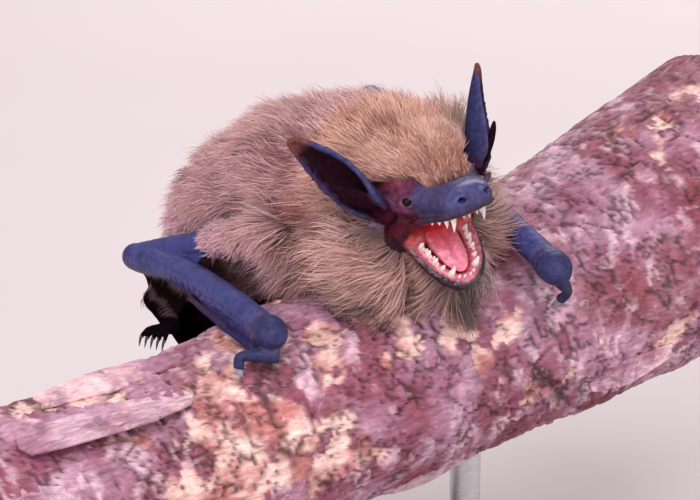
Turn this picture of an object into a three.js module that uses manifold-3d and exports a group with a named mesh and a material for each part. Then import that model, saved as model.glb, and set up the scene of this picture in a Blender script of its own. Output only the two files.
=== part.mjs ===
// A brown bat, life-size and still: it crouches across a cut length of branch with its wings folded,
// its head raised and its mouth open, and a small display stand holds the branch.
// Millimetres, +Z up. The bat faces -Y and its left side is +X. The origin is the middle of the
// stand's underside. The furred pieces reach to the tips of the coat.
import * as THREE from "three";
import { mergeVertices } from "three/addons/utils/BufferGeometryUtils.js";
import Module from "manifold-3d";

const wasm = await Module();
wasm.setup();

// ---------------------------------------------------------------- driving dimensions
const joinGap = 0.3; // clearance between neighbouring pieces
const eyeGap = 0.12; // clearance of an eyeball in its socket
const skinSheet = 0.6; // thickness of a wing or tail membrane
const tolerance = 0.07; // how far a surface may move when its facets are thinned out
const boneBow = 0.5; // how far the middle of a long bone stands above the line between its ends

// The head's centre, between the ears and level with the eyes, above the stand's underside.
const headAt = new THREE.Vector3(0, -18, 78);
const headPose = { turn: -2, noseUp: 10.5, leftUp: 11 }; // degrees

// The jaw hangs open on its hinge, in the head's own axes.
const jaw = { hinge: [0, 4.5, -2.5], gape: 53, length: 13.4 };

// Bones of the limbs, in the bat's axes about the head's centre.
const right = {
  shoulder: [-11.4, 17.5, -8.8],
  elbow: [-16.1, 47.5, -20.3],
  wrist: [-22.2, 1.8, -15.6],
  thumb: [[-22.2, 0.6, -18.2], [-26.2, 2.2, -17.9], [-26.6, 2.1, -19.3]],
  claw: [[-26.6, 2.05, -19.7], [-26.4, 1.8, -20.8]],
  hip: [-7, 44, -17],
  knee: [-17, 41, -24.2],
  ankle: [-24.5, 22.5, -20.8],
  toes: [-30, 20.5, -21.8],
  fingerShift: [-2.8, 0, -1.5],
};
const left = {
  shoulder: [10, 16, -3],
  elbow: [16.8, 38, -0.3],
  wrist: [14.6, -7.9, -11.4],
  thumb: [[15.2, -8.4, -13.2], [17.4, -7.0, -15.4], [17.6, -5.4, -16.9]],
  claw: [[17.6, -5.1, -17.2], [17.5, -3.4, -18.6]],
  hip: [5, 44, -14],
  knee: [17.2, 42, -14.5],
  ankle: [24, 25, -9.6],
  toes: [29, 21, -8],
  fingerShift: [2.8, -0.3, -1.5],
};
const armSize = { shoulder: 2.6, elbow: 1.85, bulge: 1.95, middle: 1.75, wrist: 2.25 };
const legSize = { hip: 3.2, knee: 1.5, ankle: 1.05, toe: 0.55 };

// The branch's axis and radius, from the bat's right to its left, about the head's centre.
const branchLine = [
  [[-90, 10, -35.6], 14.2],
  [[-68, 10, -35.6], 14.2],
  [[-50, 10, -35.4], 14.2],
  [[-36, 10, -34.8], 14.1],
  [[-22, 10, -32.5], 14.0],
  [[-10, 10, -30.2], 14.7],
  [[0, 10.2, -28.4], 15.2],
  [[10, 11, -27.1], 15.6],
  [[20, 12.1, -25.8], 16.3],
  [[33, 13.5, -23.5], 17.5],
  [[45, 14.8, -21.2], 18.9],
  [[57, 16, -18], 19.6],
  [[72, 17.2, -13.2], 20.4],
  [[92, 18.5, -7], 20.8],
];
const branchCut = { right: -65, left: 65, slope: 0.2 };

const stand = {
  long: 104,
  deep: 70,
  thick: 6,
  edge: 1, // bevel of the base
  rod: 2.1, // radius
  rodsAt: [-26, 15], // across the bat
  sunk: 4, // how far a rod goes into the branch and the base
};

// ---------------------------------------------------------------- materials
const finish = (hex, roughness, metalness = 0) =>
  new THREE.MeshStandardMaterial({ color: hex, roughness, metalness });
const materials = {
  fur: finish(0xb08a72, 0.9),
  bareSkin: finish(0x3c3c58, 0.5),
  mouth: finish(0xd8505a, 0.35),
  eye: finish(0x0c0a0e, 0.08),
  claw: finish(0x8f8c98, 0.35),
  bark: finish(0x8d5a58, 0.85),
  standWood: finish(0x3a2c26, 0.45),
  steel: finish(0xb9bcc2, 0.3, 1),
};

// ---------------------------------------------------------------- shapes
const vec = (p) => (p.isVector3 ? p.clone() : new THREE.Vector3(...p));
const mix = (a, b, t) => vec(a).lerp(vec(b), t);

// A closed solid from a geometry, turned the right way out.
function solidOf(geometry) {
  const bare = new THREE.BufferGeometry();
  bare.setAttribute("position", geometry.getAttribute("position").clone());
  if (geometry.index) bare.setIndex(geometry.index);
  const merged = mergeVertices(bare, 1e-4);
  const make = (flip) => {
    const triVerts = new Uint32Array(merged.index.array);
    for (let i = 0; flip && i < triVerts.length; i += 3)
      [triVerts[i + 1], triVerts[i + 2]] = [triVerts[i + 2], triVerts[i + 1]];
    const vertProperties = new Float32Array(merged.attributes.position.array);
    return new wasm.Manifold(new wasm.Mesh({ numProp: 3, vertProperties, triVerts }));
  };
  const made = make(false);
  return made.volume() < 0 ? make(true) : made;
}

function geometryOf(solid) {
  const mesh = solid.getMesh();
  const points = new Float32Array(mesh.numVert * 3);
  for (let i = 0; i < mesh.numVert; i++)
    points.set(mesh.vertProperties.subarray(i * mesh.numProp, i * mesh.numProp + 3), i * 3);
  const geometry = new THREE.BufferGeometry();
  geometry.setAttribute("position", new THREE.BufferAttribute(points, 3));
  geometry.setIndex(new THREE.BufferAttribute(new Uint32Array(mesh.triVerts), 1));
  geometry.computeVertexNormals();
  return geometry;
}

// The solid with its surface moved out, to cut a clearance in a neighbour, or a hair in, which parts
// two corners that a cut left on one point.
function grown(solid, by = joinGap) {
  const geometry = geometryOf(solid);
  const { position, normal } = geometry.attributes;
  for (let i = 0; i < position.count; i++)
    position.setXYZ(
      i,
      position.getX(i) + by * normal.getX(i),
      position.getY(i) + by * normal.getY(i),
      position.getZ(i) + by * normal.getZ(i),
    );
  const triVerts = geometry.index.array;
  return new wasm.Manifold(new wasm.Mesh({ numProp: 3, vertProperties: position.array, triVerts }));
}

const join = (solids) => solids.reduce((a, b) => a.add(b));
const biggest = (solid) =>
  solid.decompose().reduce((a, b) => (b.volume() > a.volume() ? b : a));

// A rounded body along a smooth line. Each station is [point, half width, height above, depth below]:
// the squares of the sizes are blended, so that a body that ends in a station of no size ends round.
function body(stations, { rings = 14, around = 14, up = [0, 0, 1], square = 2 } = {}) {
  const line = new THREE.CatmullRomCurve3(stations.map((s) => vec(s[0])), false, "catmullrom", 0.5);
  const sizes = new THREE.CatmullRomCurve3(
    stations.map(([, w, h = w, d = h]) => new THREE.Vector3(w * w, h * h, d * d)),
    false,
    "catmullrom",
    0.5,
  );
  const geometry = new THREE.SphereGeometry(1, around, rings);
  const { position } = geometry.attributes;
  const upwards = vec(up);
  const power = 2 / square;
  const bend = (x) => Math.sign(x) * Math.abs(x) ** power;
  for (let row = 0, i = 0; row <= rings; row++) {
    const share = row / rings;
    const t = 0.5 * share + 0.5 * (0.5 - 0.5 * Math.cos(Math.PI * share));
    const centre = line.getPoint(t);
    const size = sizes.getPoint(t);
    const along = line.getTangent(Math.min(Math.max(t, 0.01), 0.99));
    const across = new THREE.Vector3().crossVectors(along, upwards).normalize();
    const over = new THREE.Vector3().crossVectors(across, along).normalize();
    const end = row === 0 || row === rings ? 0 : 1;
    const [w, h, d] = [size.x, size.y, size.z].map((s) => end * Math.sqrt(Math.max(s, 0.0025)));
    for (let col = 0; col <= around; col++, i++) {
      const angle = (2 * Math.PI * (col % around)) / around;
      const c = bend(Math.cos(angle));
      const s = bend(Math.sin(angle));
      const at = centre.clone().addScaledVector(across, w * c).addScaledVector(over, (s > 0 ? h : d) * s);
      position.setXYZ(i, at.x, at.y, at.z);
    }
  }
  return geometry;
}

// A place along a long bone, which bows upwards a little between its ends.
const alongBone = (a, b, t, bow = boneBow) => mix(a, b, t).add(vec([0, 0, bow * Math.sin(Math.PI * t)]));

// A round limb through its points, with one radius at each.
const limb = (points, radii, options = {}) =>
  body(
    [
      [vec(points[0]).lerp(vec(points[1]), -0.04), 0],
      ...points.map((p, i) => [p, radii[i]]),
      [vec(points.at(-1)).lerp(vec(points.at(-2)), -0.04), 0],
    ],
    { rings: 10, around: 8, ...options },
  );

// A sheet of even thickness over place(u, v), with u and v from 0 to 1.
function sheet(place, { thickness = skinSheet, across = 10, along = 10 } = {}) {
  const geometry = new THREE.BoxGeometry(1, 1, 1, across, along, 1);
  const { position } = geometry.attributes;
  const step = 1e-3;
  for (let i = 0; i < position.count; i++) {
    const u = position.getX(i) + 0.5;
    const v = position.getY(i) + 0.5;
    const at = place(u, v);
    const du = place(Math.min(u + step, 1), v).sub(place(Math.max(u - step, 0), v));
    const dv = place(u, Math.min(v + step, 1)).sub(place(u, Math.max(v - step, 0)));
    at.addScaledVector(du.cross(dv).normalize(), position.getZ(i) * thickness);
    position.setXYZ(i, at.x, at.y, at.z);
  }
  return geometry;
}

// ---------------------------------------------------------------- the head's and the jaw's own axes
const radians = THREE.MathUtils.degToRad;
const headFrame = new THREE.Matrix4().makeRotationFromEuler(
  new THREE.Euler(-radians(headPose.noseUp), -radians(headPose.leftUp), radians(headPose.turn), "ZXY"),
);
const inHead = (geometry) => solidOf(geometry.clone().applyMatrix4(headFrame));

// A place on the jaw: x to the side, v from the hinge towards the chin, w towards the palate.
function onJaw(x, v, w) {
  const [, hingeY, hingeZ] = jaw.hinge;
  const dip = radians(jaw.gape);
  return [
    x,
    hingeY - v * Math.cos(dip) - w * Math.sin(dip),
    hingeZ - v * Math.sin(dip) + w * Math.cos(dip),
  ];
}
const jawUp = [0, -Math.sin(radians(jaw.gape)), Math.cos(radians(jaw.gape))];

// ---------------------------------------------------------------- head
// A tooth: a cone of five sides that stands on point and leans along the direction.
function tooth(at, direction, height, radius) {
  const cone = new THREE.ConeGeometry(radius, height, 5);
  cone.translate(0, height / 2, 0);
  const upright = new THREE.Vector3(0, 1, 0);
  const aim = new THREE.Quaternion().setFromUnitVectors(upright, vec(direction).normalize());
  return cone.applyQuaternion(aim).translate(...at);
}

// Each row of one side of a jaw, from the front: [distance back, to the side, height, radius].
const upperTeeth = [
  [9.35, 0.55, 1.1, 0.34],
  [9.15, 1.25, 1.0, 0.3],
  [8.15, 2.2, 2.9, 0.55],
  [6.95, 2.55, 1.8, 0.5],
  [5.7, 2.85, 1.3, 0.55],
  [4.4, 3.1, 1.2, 0.55],
  [3.1, 3.3, 1.1, 0.5],
];
const lowerTeeth = [
  [12.35, 0.45, 0.9, 0.28],
  [12.1, 1.1, 0.9, 0.3],
  [11.35, 1.85, 2.3, 0.5],
  [10.2, 2.45, 1.2, 0.42],
  [9.0, 2.85, 1.35, 0.45],
  [7.7, 3.15, 1.4, 0.52],
  [6.4, 3.4, 1.35, 0.52],
  [5.1, 3.6, 1.2, 0.5],
];
const toothRoot = 0.5; // how deep a tooth stands in its gum

function skull() {
  return body(
    [
      [[0, 12.2, -0.5], 0],
      [[0, 8.4, 0.2], 8.0, 6.8, 7.4],
      [[0, 3.4, 0.6], 9.3, 7.9, 8.0],
      [[0, -0.8, 0.2], 7.8, 6.6, 5.6],
      [[0, -3.6, -0.4], 5.3, 4.2, 3.6],
      [[0, -6.0, -0.7], 4.25, 2.7, 2.9],
      [[0, -8.4, -0.8], 3.8, 2.5, 2.4],
      [[0, -10.2, -0.7], 2.9, 2.0, 1.8],
      [[0, -10.9, -0.7], 0],
    ],
    { rings: 16, around: 14, square: 2.2 },
  );
}

function cheek(side) {
  return body(
    [
      [[side * 4.9, -1.4, -2.4], 0],
      [[side * 5.0, 0.8, -3.9], 1.3, 1.8],
      [[side * 5.3, 3.0, -6.0], 2.6, 2.8],
      [[side * 5.0, 5.6, -7.6], 3.4, 3.4],
      [[side * 4.0, 8.4, -8.0], 0],
    ],
    { rings: 10, around: 10 },
  );
}

function mouthHollow() {
  return body(
    [
      [[0, -9.6, -4.4], 0],
      [[0, -8.6, -4.4], 2.0, 1.7],
      [[0, -6.0, -4.5], 2.9, 2.0],
      [[0, -2.6, -5.0], 3.6, 2.6],
      [[0, 0.6, -5.8], 4.0, 3.2],
      [[0, 3.6, -6.6], 0],
    ],
    { rings: 9, around: 12, square: 2.6 },
  );
}

const nostril = (side) =>
  body(
    [
      [[side * 1.5, -9.3, -0.9], 0],
      [[side * 2.2, -10.0, -0.9], 0.5, 0.42],
      [[side * 3.6, -10.9, -0.9], 0],
    ],
    { rings: 6, around: 8 },
  );

function eyeball(side) {
  return inHead(new THREE.SphereGeometry(0.95, 10, 7).translate(side * 4.72, -3.05, 0.15));
}

const buildFlesh = () => join([skull(), cheek(-1), cheek(1)].map(inHead));

function buildHead(eyes) {
  const teeth = [-1, 1].flatMap((side) =>
    upperTeeth.map(([back, out, height, radius]) =>
      inHead(
        tooth(
          [side * out, -back, -2.35 + toothRoot - 0.07 * (9.3 - back)],
          [side * 0.05, 0.03, -1],
          height + toothRoot,
          radius,
        ),
      ),
    ),
  );
  const hollows = join([mouthHollow(), nostril(-1), nostril(1)].map(inHead));
  const bare = eyes.reduce((a, eye) => a.subtract(grown(eye, eyeGap)), buildFlesh().subtract(hollows));
  return bare.add(join(teeth));
}

// ---------------------------------------------------------------- lower jaw and tongue
function jawBody() {
  return body(
    [
      [onJaw(0, 1.2, -0.4), 0],
      [onJaw(0, 3.2, -0.3), 4.9, 1.6, 2.8],
      [onJaw(0, 5.6, 0.0), 5.0, 1.7, 2.5],
      [onJaw(0, 8.6, 0.1), 4.3, 1.5, 2.1],
      [onJaw(0, 11.4, 0.1), 3.2, 1.2, 1.6],
      [onJaw(0, 13.0, 0.1), 1.9, 0.8, 0.9],
      [onJaw(0, jaw.length, 0.1), 0],
    ],
    { rings: 10, around: 12, up: jawUp, square: 2.5 },
  );
}

function jawTrough() {
  return body(
    [
      [onJaw(0, 0.5, 3.0), 0],
      [onJaw(0, 3.4, 2.6), 3.6, 2.2],
      [onJaw(0, 6.4, 2.6), 3.3, 2.3],
      [onJaw(0, 9.6, 2.6), 2.5, 2.1],
      [onJaw(0, 11.4, 2.5), 1.5, 1.7],
      [onJaw(0, 12.0, 2.5), 0],
    ],
    { rings: 9, around: 10, up: jawUp, square: 2.6 },
  );
}

function buildJaw() {
  const teeth = [-1, 1].flatMap((side) =>
    lowerTeeth.map(([v, out, height, radius]) =>
      inHead(tooth(onJaw(side * out, v, 1.2 - toothRoot), jawUp, height + toothRoot, radius)),
    ),
  );
  return inHead(jawBody()).subtract(inHead(jawTrough())).add(join(teeth));
}

function buildTongue() {
  return inHead(
    body(
      [
        [onJaw(0, 1.4, 1.5), 0],
        [onJaw(0, 3.4, 1.5), 2.5, 1.1, 0.8],
        [onJaw(0, 6.6, 1.4), 2.5, 1.0, 0.7],
        [onJaw(0, 9.4, 1.5), 1.8, 0.8, 0.6],
        [onJaw(0, 11.1, 1.7), 0],
      ],
      { rings: 10, around: 12, up: jawUp },
    ),
  );
}

// ---------------------------------------------------------------- ears
// The ear is a scoop that opens outwards and a little forwards. It is laid out on its own three
// axes: tall along its back, facing out of the hollow, and across from the front edge to the rear.
const ear = {
  root: [6.6, 1.0, -0.5],
  tall: [0.546, 0.262, 0.794],
  facing: [0.84, -0.54, 0],
  length: 14.4,
  halfArc: [4.2, 5.3, 5.4, 4.9, 3.9, 2.6, 1.2], // half of the unrolled width, from root to tip
  curl: [112, 98, 78, 62, 52, 44, 40], // degrees from the back of the scoop to its edge
  thick: 0.7,
};

const blend = (values, t) => {
  const x = Math.min(Math.max(t, 0), 1) * (values.length - 1);
  const i = Math.min(Math.floor(x), values.length - 2);
  return values[i] + (values[i + 1] - values[i]) * (x - i);
};

function earAxes(side) {
  const flip = new THREE.Vector3(side, 1, 1);
  const tall = vec(ear.tall).multiply(flip).normalize();
  const facing = vec(ear.facing).multiply(flip);
  facing.addScaledVector(tall, -facing.dot(tall)).normalize();
  const across = new THREE.Vector3().crossVectors(tall, facing).multiplyScalar(side);
  return { root: vec(ear.root).multiply(flip), tall, facing, across };
}

function buildEar(side) {
  const { root, tall, facing, across } = earAxes(side);
  const place = (u, v) => {
    const reach = (2 * u - 1) * radians(blend(ear.curl, v));
    const radius = blend(ear.halfArc, v) / radians(blend(ear.curl, v));
    return root
      .clone()
      .addScaledVector(tall, ear.length * v)
      .addScaledVector(across, radius * Math.sin(reach))
      .addScaledVector(facing, radius * (1 - Math.cos(reach)) - 1.6 * v * (1 - v));
  };
  return inHead(sheet(place, { thickness: ear.thick, across: 8, along: 9 }));
}

function buildTragus(side) {
  const { root, tall, facing, across } = earAxes(side);
  const at = (up, out, rear) =>
    root.clone().addScaledVector(tall, up).addScaledVector(facing, out).addScaledVector(across, rear);
  return inHead(
    body(
      [
        [at(1.4, 2.2, -1.0), 0],
        [at(2.6, 2.6, -1.1), 1.0, 0.55],
        [at(4.2, 2.9, -0.9), 1.35, 0.5],
        [at(5.8, 3.0, -0.5), 1.1, 0.42],
        [at(6.9, 3.0, -0.1), 0],
      ],
      { rings: 8, around: 10, up: facing },
    ),
  );
}

// ---------------------------------------------------------------- trunk, neck and tail
// The whole furred body, which is then divided into the neck and the trunk.
function buildCoat() {
  const back = body(
    [
      [[0, 4.0, -5.5], 0],
      [[0.3, 8.5, -4.6], 12.0, 12.6, 8],
      [[0.3, 16, -4.2], 13.6, 12.4, 10],
      [[0, 25, -5.6], 14.2, 11.8, 12.6],
      [[-0.7, 34, -9.2], 13.2, 11.2, 11.9],
      [[-1.5, 43, -13.6], 11.6, 9.4, 10],
      [[-2, 51, -17.6], 8.2, 6.8, 6.8],
      [[-2.2, 55.6, -20], 0],
    ],
    { rings: 16, around: 18 },
  );
  const breast = body(
    [
      [[0, -1.5, -12.5], 0],
      [[0, 2.0, -11.5], 9.0, 5.5, 6],
      [[0, 8, -9.5], 12.6, 7, 9],
      [[0, 16, -9], 0],
    ],
    { rings: 10, around: 14 },
  );
  const neck = body(
    [
      [[0, 0.5, -2], 0],
      [[0.6, 4, -1.2], 10.4, 10.4, 9],
      [[0.8, 9, -1], 12.0, 11.6, 9],
      [[0.5, 15, -3], 12.0, 11.6, 7],
      [[0, 21, -5], 0],
    ],
    { rings: 10, around: 16 },
  );
  return join([back, breast, neck].map(solidOf));
}

// Everything in front of a plane across the coat, less the clearance when it is asked for.
function frontOf(solid, clearance) {
  const normal = new THREE.Vector3(0, -1, 0.12).normalize();
  return solid.trimByPlane(normal.toArray(), normal.dot(vec([0, 10, 0])) + clearance);
}

const tailLine = [
  [-2, 52, -21],
  [-2, 57, -28],
  [-1.6, 54.5, -36],
  [-1, 47, -40.5],
  [-0.4, 39, -40],
];
const buildTail = () => solidOf(limb(tailLine, [1.9, 1.3, 1.0, 0.8, 0.5]));

// ---------------------------------------------------------------- limbs
// The upper arm with the web of skin that fills the crook of the elbow.
function buildUpperArm(b) {
  const bones = limb(
    [b.shoulder, mix(b.shoulder, b.elbow, 0.5), mix(b.shoulder, b.elbow, 0.94)],
    [armSize.shoulder, 2.1, armSize.elbow],
  );
  const web = sheet(
    (u, v) => {
      const slack = 1 - 0.3 * v * Math.sin(Math.PI * u);
      const upper = mix(b.elbow, b.shoulder, 0.05 + 0.6 * v * slack);
      const lower = mix(b.elbow, b.wrist, 0.03 + 0.4 * v * slack);
      return mix(upper, lower, u);
    },
    { across: 4, along: 4 },
  );
  return solidOf(bones).add(solidOf(web));
}

const buildForearm = (b) =>
  solidOf(
    limb(
      [b.elbow, ...[0.3, 0.7, 0.93].map((t) => alongBone(b.elbow, b.wrist, t))],
      [armSize.elbow, armSize.bulge, armSize.middle, 1.65],
      { rings: 12, around: 7 },
    ),
  );

// The wrist and, folded back from it along the forearm, the bundle of long fingers.
const fingerSpan = [[0.95, 0.6], [0.8, 1], [0.5, 0.9], [0.25, 0.85], [0.06, 0.8]]; // [along, aside]
const fingerLine = (b) =>
  fingerSpan.map(([along, aside]) =>
    mix(b.elbow, b.wrist, along).addScaledVector(vec(b.fingerShift), aside),
  );

function buildHand(b) {
  const knuckle = limb(
    [mix(b.elbow, b.wrist, 0.955), vec(b.wrist), mix(b.elbow, b.wrist, 1.035)],
    [1.9, armSize.wrist, 1.75],
    { rings: 7, around: 10 },
  );
  const sizes = [[0.6, 1.1], [0.48, 1.0], [0.45, 0.95], [0.45, 0.9], [0.4, 0.7]];
  const fingers = body(
    [
      [mix(b.elbow, b.wrist, 0.99), 0],
      ...fingerLine(b).map((p, i) => [p, ...sizes[i]]),
      [mix(b.elbow, b.wrist, 0.01).addScaledVector(vec(b.fingerShift), 0.8), 0],
    ],
    { rings: 11, around: 6 },
  );
  return solidOf(knuckle).add(solidOf(fingers));
}

const buildThumb = (b) => solidOf(limb(b.thumb, [1.15, 0.85, 0.95], { rings: 7, around: 6 }));
const buildThumbClaw = (b) => {
  const [root, tip] = b.claw;
  const stations = [[mix(root, tip, -0.2), 0.5], [mix(root, tip, 0.3), 0.5], [tip, 0.1]];
  return solidOf(body(stations, { rings: 5, around: 7, up: [0, 1, 0] }));
};

const buildThigh = (b) => {
  const points = [0, 0.45, 0.88].map((t) => alongBone(b.hip, b.knee, t));
  return solidOf(limb(points, [legSize.hip, 2.3, legSize.knee], { rings: 9 }));
};
const buildShank = (b) => {
  const points = [0, 0.4, 1].map((t) => alongBone(b.knee, b.ankle, t));
  return solidOf(limb(points, [legSize.knee, 1.3, legSize.ankle]));
};

// A foot with its five toes, each ending in a hooked claw that holds the bark.
function buildFoot(b) {
  const heel = mix(b.ankle, b.toes, -0.1);
  const ball = mix(b.ankle, b.toes, 0.45).add(vec([0, 0, 0.5]));
  const sole = body(
    [[heel, 0], [mix(b.ankle, b.toes, 0.1), 1.0, 0.8], [ball, 1.9, 0.8], [mix(b.ankle, b.toes, 0.6), 0]],
    { rings: 8, around: 10 },
  );
  const forward = vec(b.toes).sub(vec(b.ankle)).normalize();
  const spread = new THREE.Vector3(0, 0, 1).cross(forward).normalize();
  const step = (p, ahead, aside, up) =>
    p.clone().addScaledVector(forward, ahead).addScaledVector(spread, aside).add(vec([0, 0, up]));
  const toeSizes = [legSize.toe, legSize.toe, 0.45, 0.12];
  const toes = [-2, -1, 0, 1, 2].map((k) => {
    const from = step(ball, -0.4, 0.62 * k, 0);
    const middle = step(from, 2.4, 0.28 * k, 0.5);
    const end = step(middle, 1.7, 0.15 * k, -0.6);
    const hook = step(end, 0.9, 0, -1.3);
    return solidOf(limb([from, middle, end, hook], toeSizes, { rings: 6, around: 5 }));
  });
  return solidOf(sole).add(join(toes));
}

// ---------------------------------------------------------------- membranes
// The wing's skin hangs from beneath the forearm to the shank, in a slack fold.
function buildWingMembrane(b) {
  return solidOf(
    sheet(
      (u, v) => {
        const at = mix(mix(b.elbow, b.wrist, 0.04 + 0.42 * v), mix(b.knee, b.ankle, 0.1 + 0.88 * v), u);
        at.z -= 1.2 * Math.sin(Math.PI * u) * (1 - v);
        return at;
      },
      { across: 4, along: 5 },
    ),
  );
}

// The tail's skin is stretched from the tail to the shank.
function buildTailMembrane(b) {
  const tail = new THREE.CatmullRomCurve3(tailLine.map(vec));
  return solidOf(
    sheet(
      (u, v) => {
        const shank = mix(b.knee, b.ankle, 0.06 + 0.8 * v).add(vec([0, 0.3, -0.6]));
        const at = mix(tail.getPoint(0.1 + 0.84 * v), shank, 0.1 + 0.79 * u);
        return at.add(vec([0, 1.5 * Math.sin(Math.PI * u), -2.5 * Math.sin(Math.PI * u)]));
      },
      { across: 4, along: 5 },
    ),
  );
}

// ---------------------------------------------------------------- branch and stand
function branchAt(x) {
  const next = branchLine.findIndex(([p]) => p[0] > x);
  const [from, to] = [branchLine[next - 1], branchLine[next]];
  const t = (x - from[0][0]) / (to[0][0] - from[0][0]);
  return { axis: mix(from[0], to[0], t), radius: from[1] + t * (to[1] - from[1]) };
}

function buildBranch() {
  const whole = solidOf(body(branchLine, { rings: 18, around: 18 }));
  const sawn = (x, side) => {
    const block = new THREE.BoxGeometry(40, 80, 80).translate(side * 20, 0, 0);
    return solidOf(block.rotateY(-branchCut.slope).translate(...branchAt(x).axis.toArray()));
  };
  return whole.subtract(sawn(branchCut.right, -1)).subtract(sawn(branchCut.left, 1));
}

// The stand is laid out from the floor up, so it is lowered here into the bat's axes.
const floorBelow = -headAt.z;
const standMiddle = [-headAt.x, -headAt.y];

function buildBase() {
  const { edge } = stand;
  const [halfLong, halfDeep] = [stand.long / 2 - edge, stand.deep / 2 - edge];
  const outline = new THREE.Shape().absellipse(0, 0, halfLong, halfDeep, 0, 2 * Math.PI);
  const plate = new THREE.ExtrudeGeometry(outline, {
    depth: stand.thick - 2 * edge,
    bevelThickness: edge,
    bevelSize: edge,
    bevelSegments: 1,
    curveSegments: 14,
  });
  return solidOf(plate.translate(...standMiddle, floorBelow + edge));
}

function buildRod(x) {
  const { axis, radius } = branchAt(x);
  const bottom = floorBelow + stand.thick - stand.sunk;
  const top = axis.z - radius + stand.sunk;
  const rod = new THREE.CylinderGeometry(stand.rod, stand.rod, top - bottom, 16);
  return solidOf(rod.rotateX(Math.PI / 2).translate(x, axis.y, (top + bottom) / 2));
}

// ---------------------------------------------------------------- assembly
const bat = new THREE.Group();
bat.position.copy(headAt);
const placed = [];

// Adds a piece. It gives way to the pieces that were added before it, with the clearance between;
// later pieces keep clear of its bulk.
function add(name, solid, material, bulk = solid) {
  const box = solid.boundingBox();
  const near = (other) =>
    [0, 1, 2].every((k) => other.min[k] < box.max[k] + 1 && box.min[k] < other.max[k] + 1);
  const cut = placed
    .filter((p) => near(p.solid.boundingBox()))
    .reduce((a, p) => a.subtract(p.wide).subtract(p.solid), solid.simplify(tolerance));
  const made = grown(biggest(biggest(cut).simplify(0.4 * tolerance)), -0.01);
  placed.push({ name, solid: made, wide: grown(bulk.simplify(tolerance)) });
  const mesh = new THREE.Mesh(geometryOf(made), material);
  mesh.name = name;
  bat.add(mesh);
}

const eyes = [-1, 1].map(eyeball);
add("stand_rod_right", buildRod(stand.rodsAt[0]), materials.steel);
add("stand_rod_left", buildRod(stand.rodsAt[1]), materials.steel);
add("stand_base", buildBase(), materials.standWood);
add("perch_branch", buildBranch(), materials.bark);
add("eye_right", eyes[0], materials.eye);
add("eye_left", eyes[1], materials.eye);
add("ear_right", buildEar(-1), materials.bareSkin);
add("ear_left", buildEar(1), materials.bareSkin);
add("tragus_right", buildTragus(-1), materials.bareSkin);
add("tragus_left", buildTragus(1), materials.bareSkin);
add("tongue", buildTongue(), materials.mouth);
add("lower_jaw", buildJaw(), materials.bareSkin, inHead(jawBody()));
add("head", buildHead(eyes), materials.fur, buildFlesh());
const coat = buildCoat();
add("neck", frontOf(coat, joinGap), materials.fur);
for (const [word, b] of [["right", right], ["left", left]]) {
  add(`thumb_claw_${word}`, buildThumbClaw(b), materials.claw);
  add(`forearm_${word}`, buildForearm(b), materials.bareSkin);
  add(`hand_${word}`, buildHand(b), materials.bareSkin);
  add(`thumb_${word}`, buildThumb(b), materials.bareSkin);
  add(`foot_${word}`, buildFoot(b), materials.bareSkin);
  add(`shank_${word}`, buildShank(b), materials.bareSkin);
}
add("trunk", coat.subtract(frontOf(coat, 0)), materials.fur);
add("tail", buildTail(), materials.bareSkin);
for (const [word, b] of [["right", right], ["left", left]]) {
  add(`upper_arm_${word}`, buildUpperArm(b), materials.bareSkin);
  add(`thigh_${word}`, buildThigh(b), materials.fur);
  add(`wing_membrane_${word}`, buildWingMembrane(b), materials.bareSkin);
  add(`tail_membrane_${word}`, buildTailMembrane(b), materials.bareSkin);
}

const model = new THREE.Group();
model.add(bat);
export default model;
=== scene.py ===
# A small brown bat with its mouth open, crouched on a cut branch that a display stand holds.
# Places are in millimetres in the bat's own axes: X to its left, Y to its tail, Z up, from the
# middle of its head. Each piece is moved to the frame, in metres, when it is finished.
import math
import bpy
import numpy as np
from mathutils import Matrix, Vector
from mathutils.bvhtree import BVHTree
from mathutils.kdtree import KDTree


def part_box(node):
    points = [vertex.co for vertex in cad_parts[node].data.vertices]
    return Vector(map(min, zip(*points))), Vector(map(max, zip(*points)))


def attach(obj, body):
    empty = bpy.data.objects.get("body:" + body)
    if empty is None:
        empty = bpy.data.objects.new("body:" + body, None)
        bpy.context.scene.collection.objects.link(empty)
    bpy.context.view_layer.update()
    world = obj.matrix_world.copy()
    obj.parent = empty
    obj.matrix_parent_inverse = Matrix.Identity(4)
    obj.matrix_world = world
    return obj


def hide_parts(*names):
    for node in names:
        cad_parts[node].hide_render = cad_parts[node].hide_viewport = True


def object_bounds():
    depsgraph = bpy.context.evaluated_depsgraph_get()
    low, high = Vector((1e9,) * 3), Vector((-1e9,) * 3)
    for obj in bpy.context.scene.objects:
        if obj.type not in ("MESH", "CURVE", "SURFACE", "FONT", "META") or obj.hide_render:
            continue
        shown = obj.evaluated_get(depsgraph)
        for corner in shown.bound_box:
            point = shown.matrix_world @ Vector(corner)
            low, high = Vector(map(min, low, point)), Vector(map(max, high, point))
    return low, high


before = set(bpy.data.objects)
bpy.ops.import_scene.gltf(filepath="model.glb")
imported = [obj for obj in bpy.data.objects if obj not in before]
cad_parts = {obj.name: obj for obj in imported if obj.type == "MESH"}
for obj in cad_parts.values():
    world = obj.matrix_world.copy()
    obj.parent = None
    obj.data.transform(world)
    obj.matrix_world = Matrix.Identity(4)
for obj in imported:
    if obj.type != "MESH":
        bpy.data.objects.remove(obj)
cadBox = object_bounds()
mm = 0.001
thinnest = 0.6


def unit(vectors):
    return vectors / np.maximum(np.linalg.norm(vectors, axis=-1, keepdims=True), 1e-9)


def smooth(low, high, value):
    t = np.clip((value - low) / (high - low), 0, 1)
    return t * t * (3 - 2 * t)


def mix(a, b, t):
    return np.asarray(a, float) + (np.asarray(b, float) - np.asarray(a, float)) * t


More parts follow.
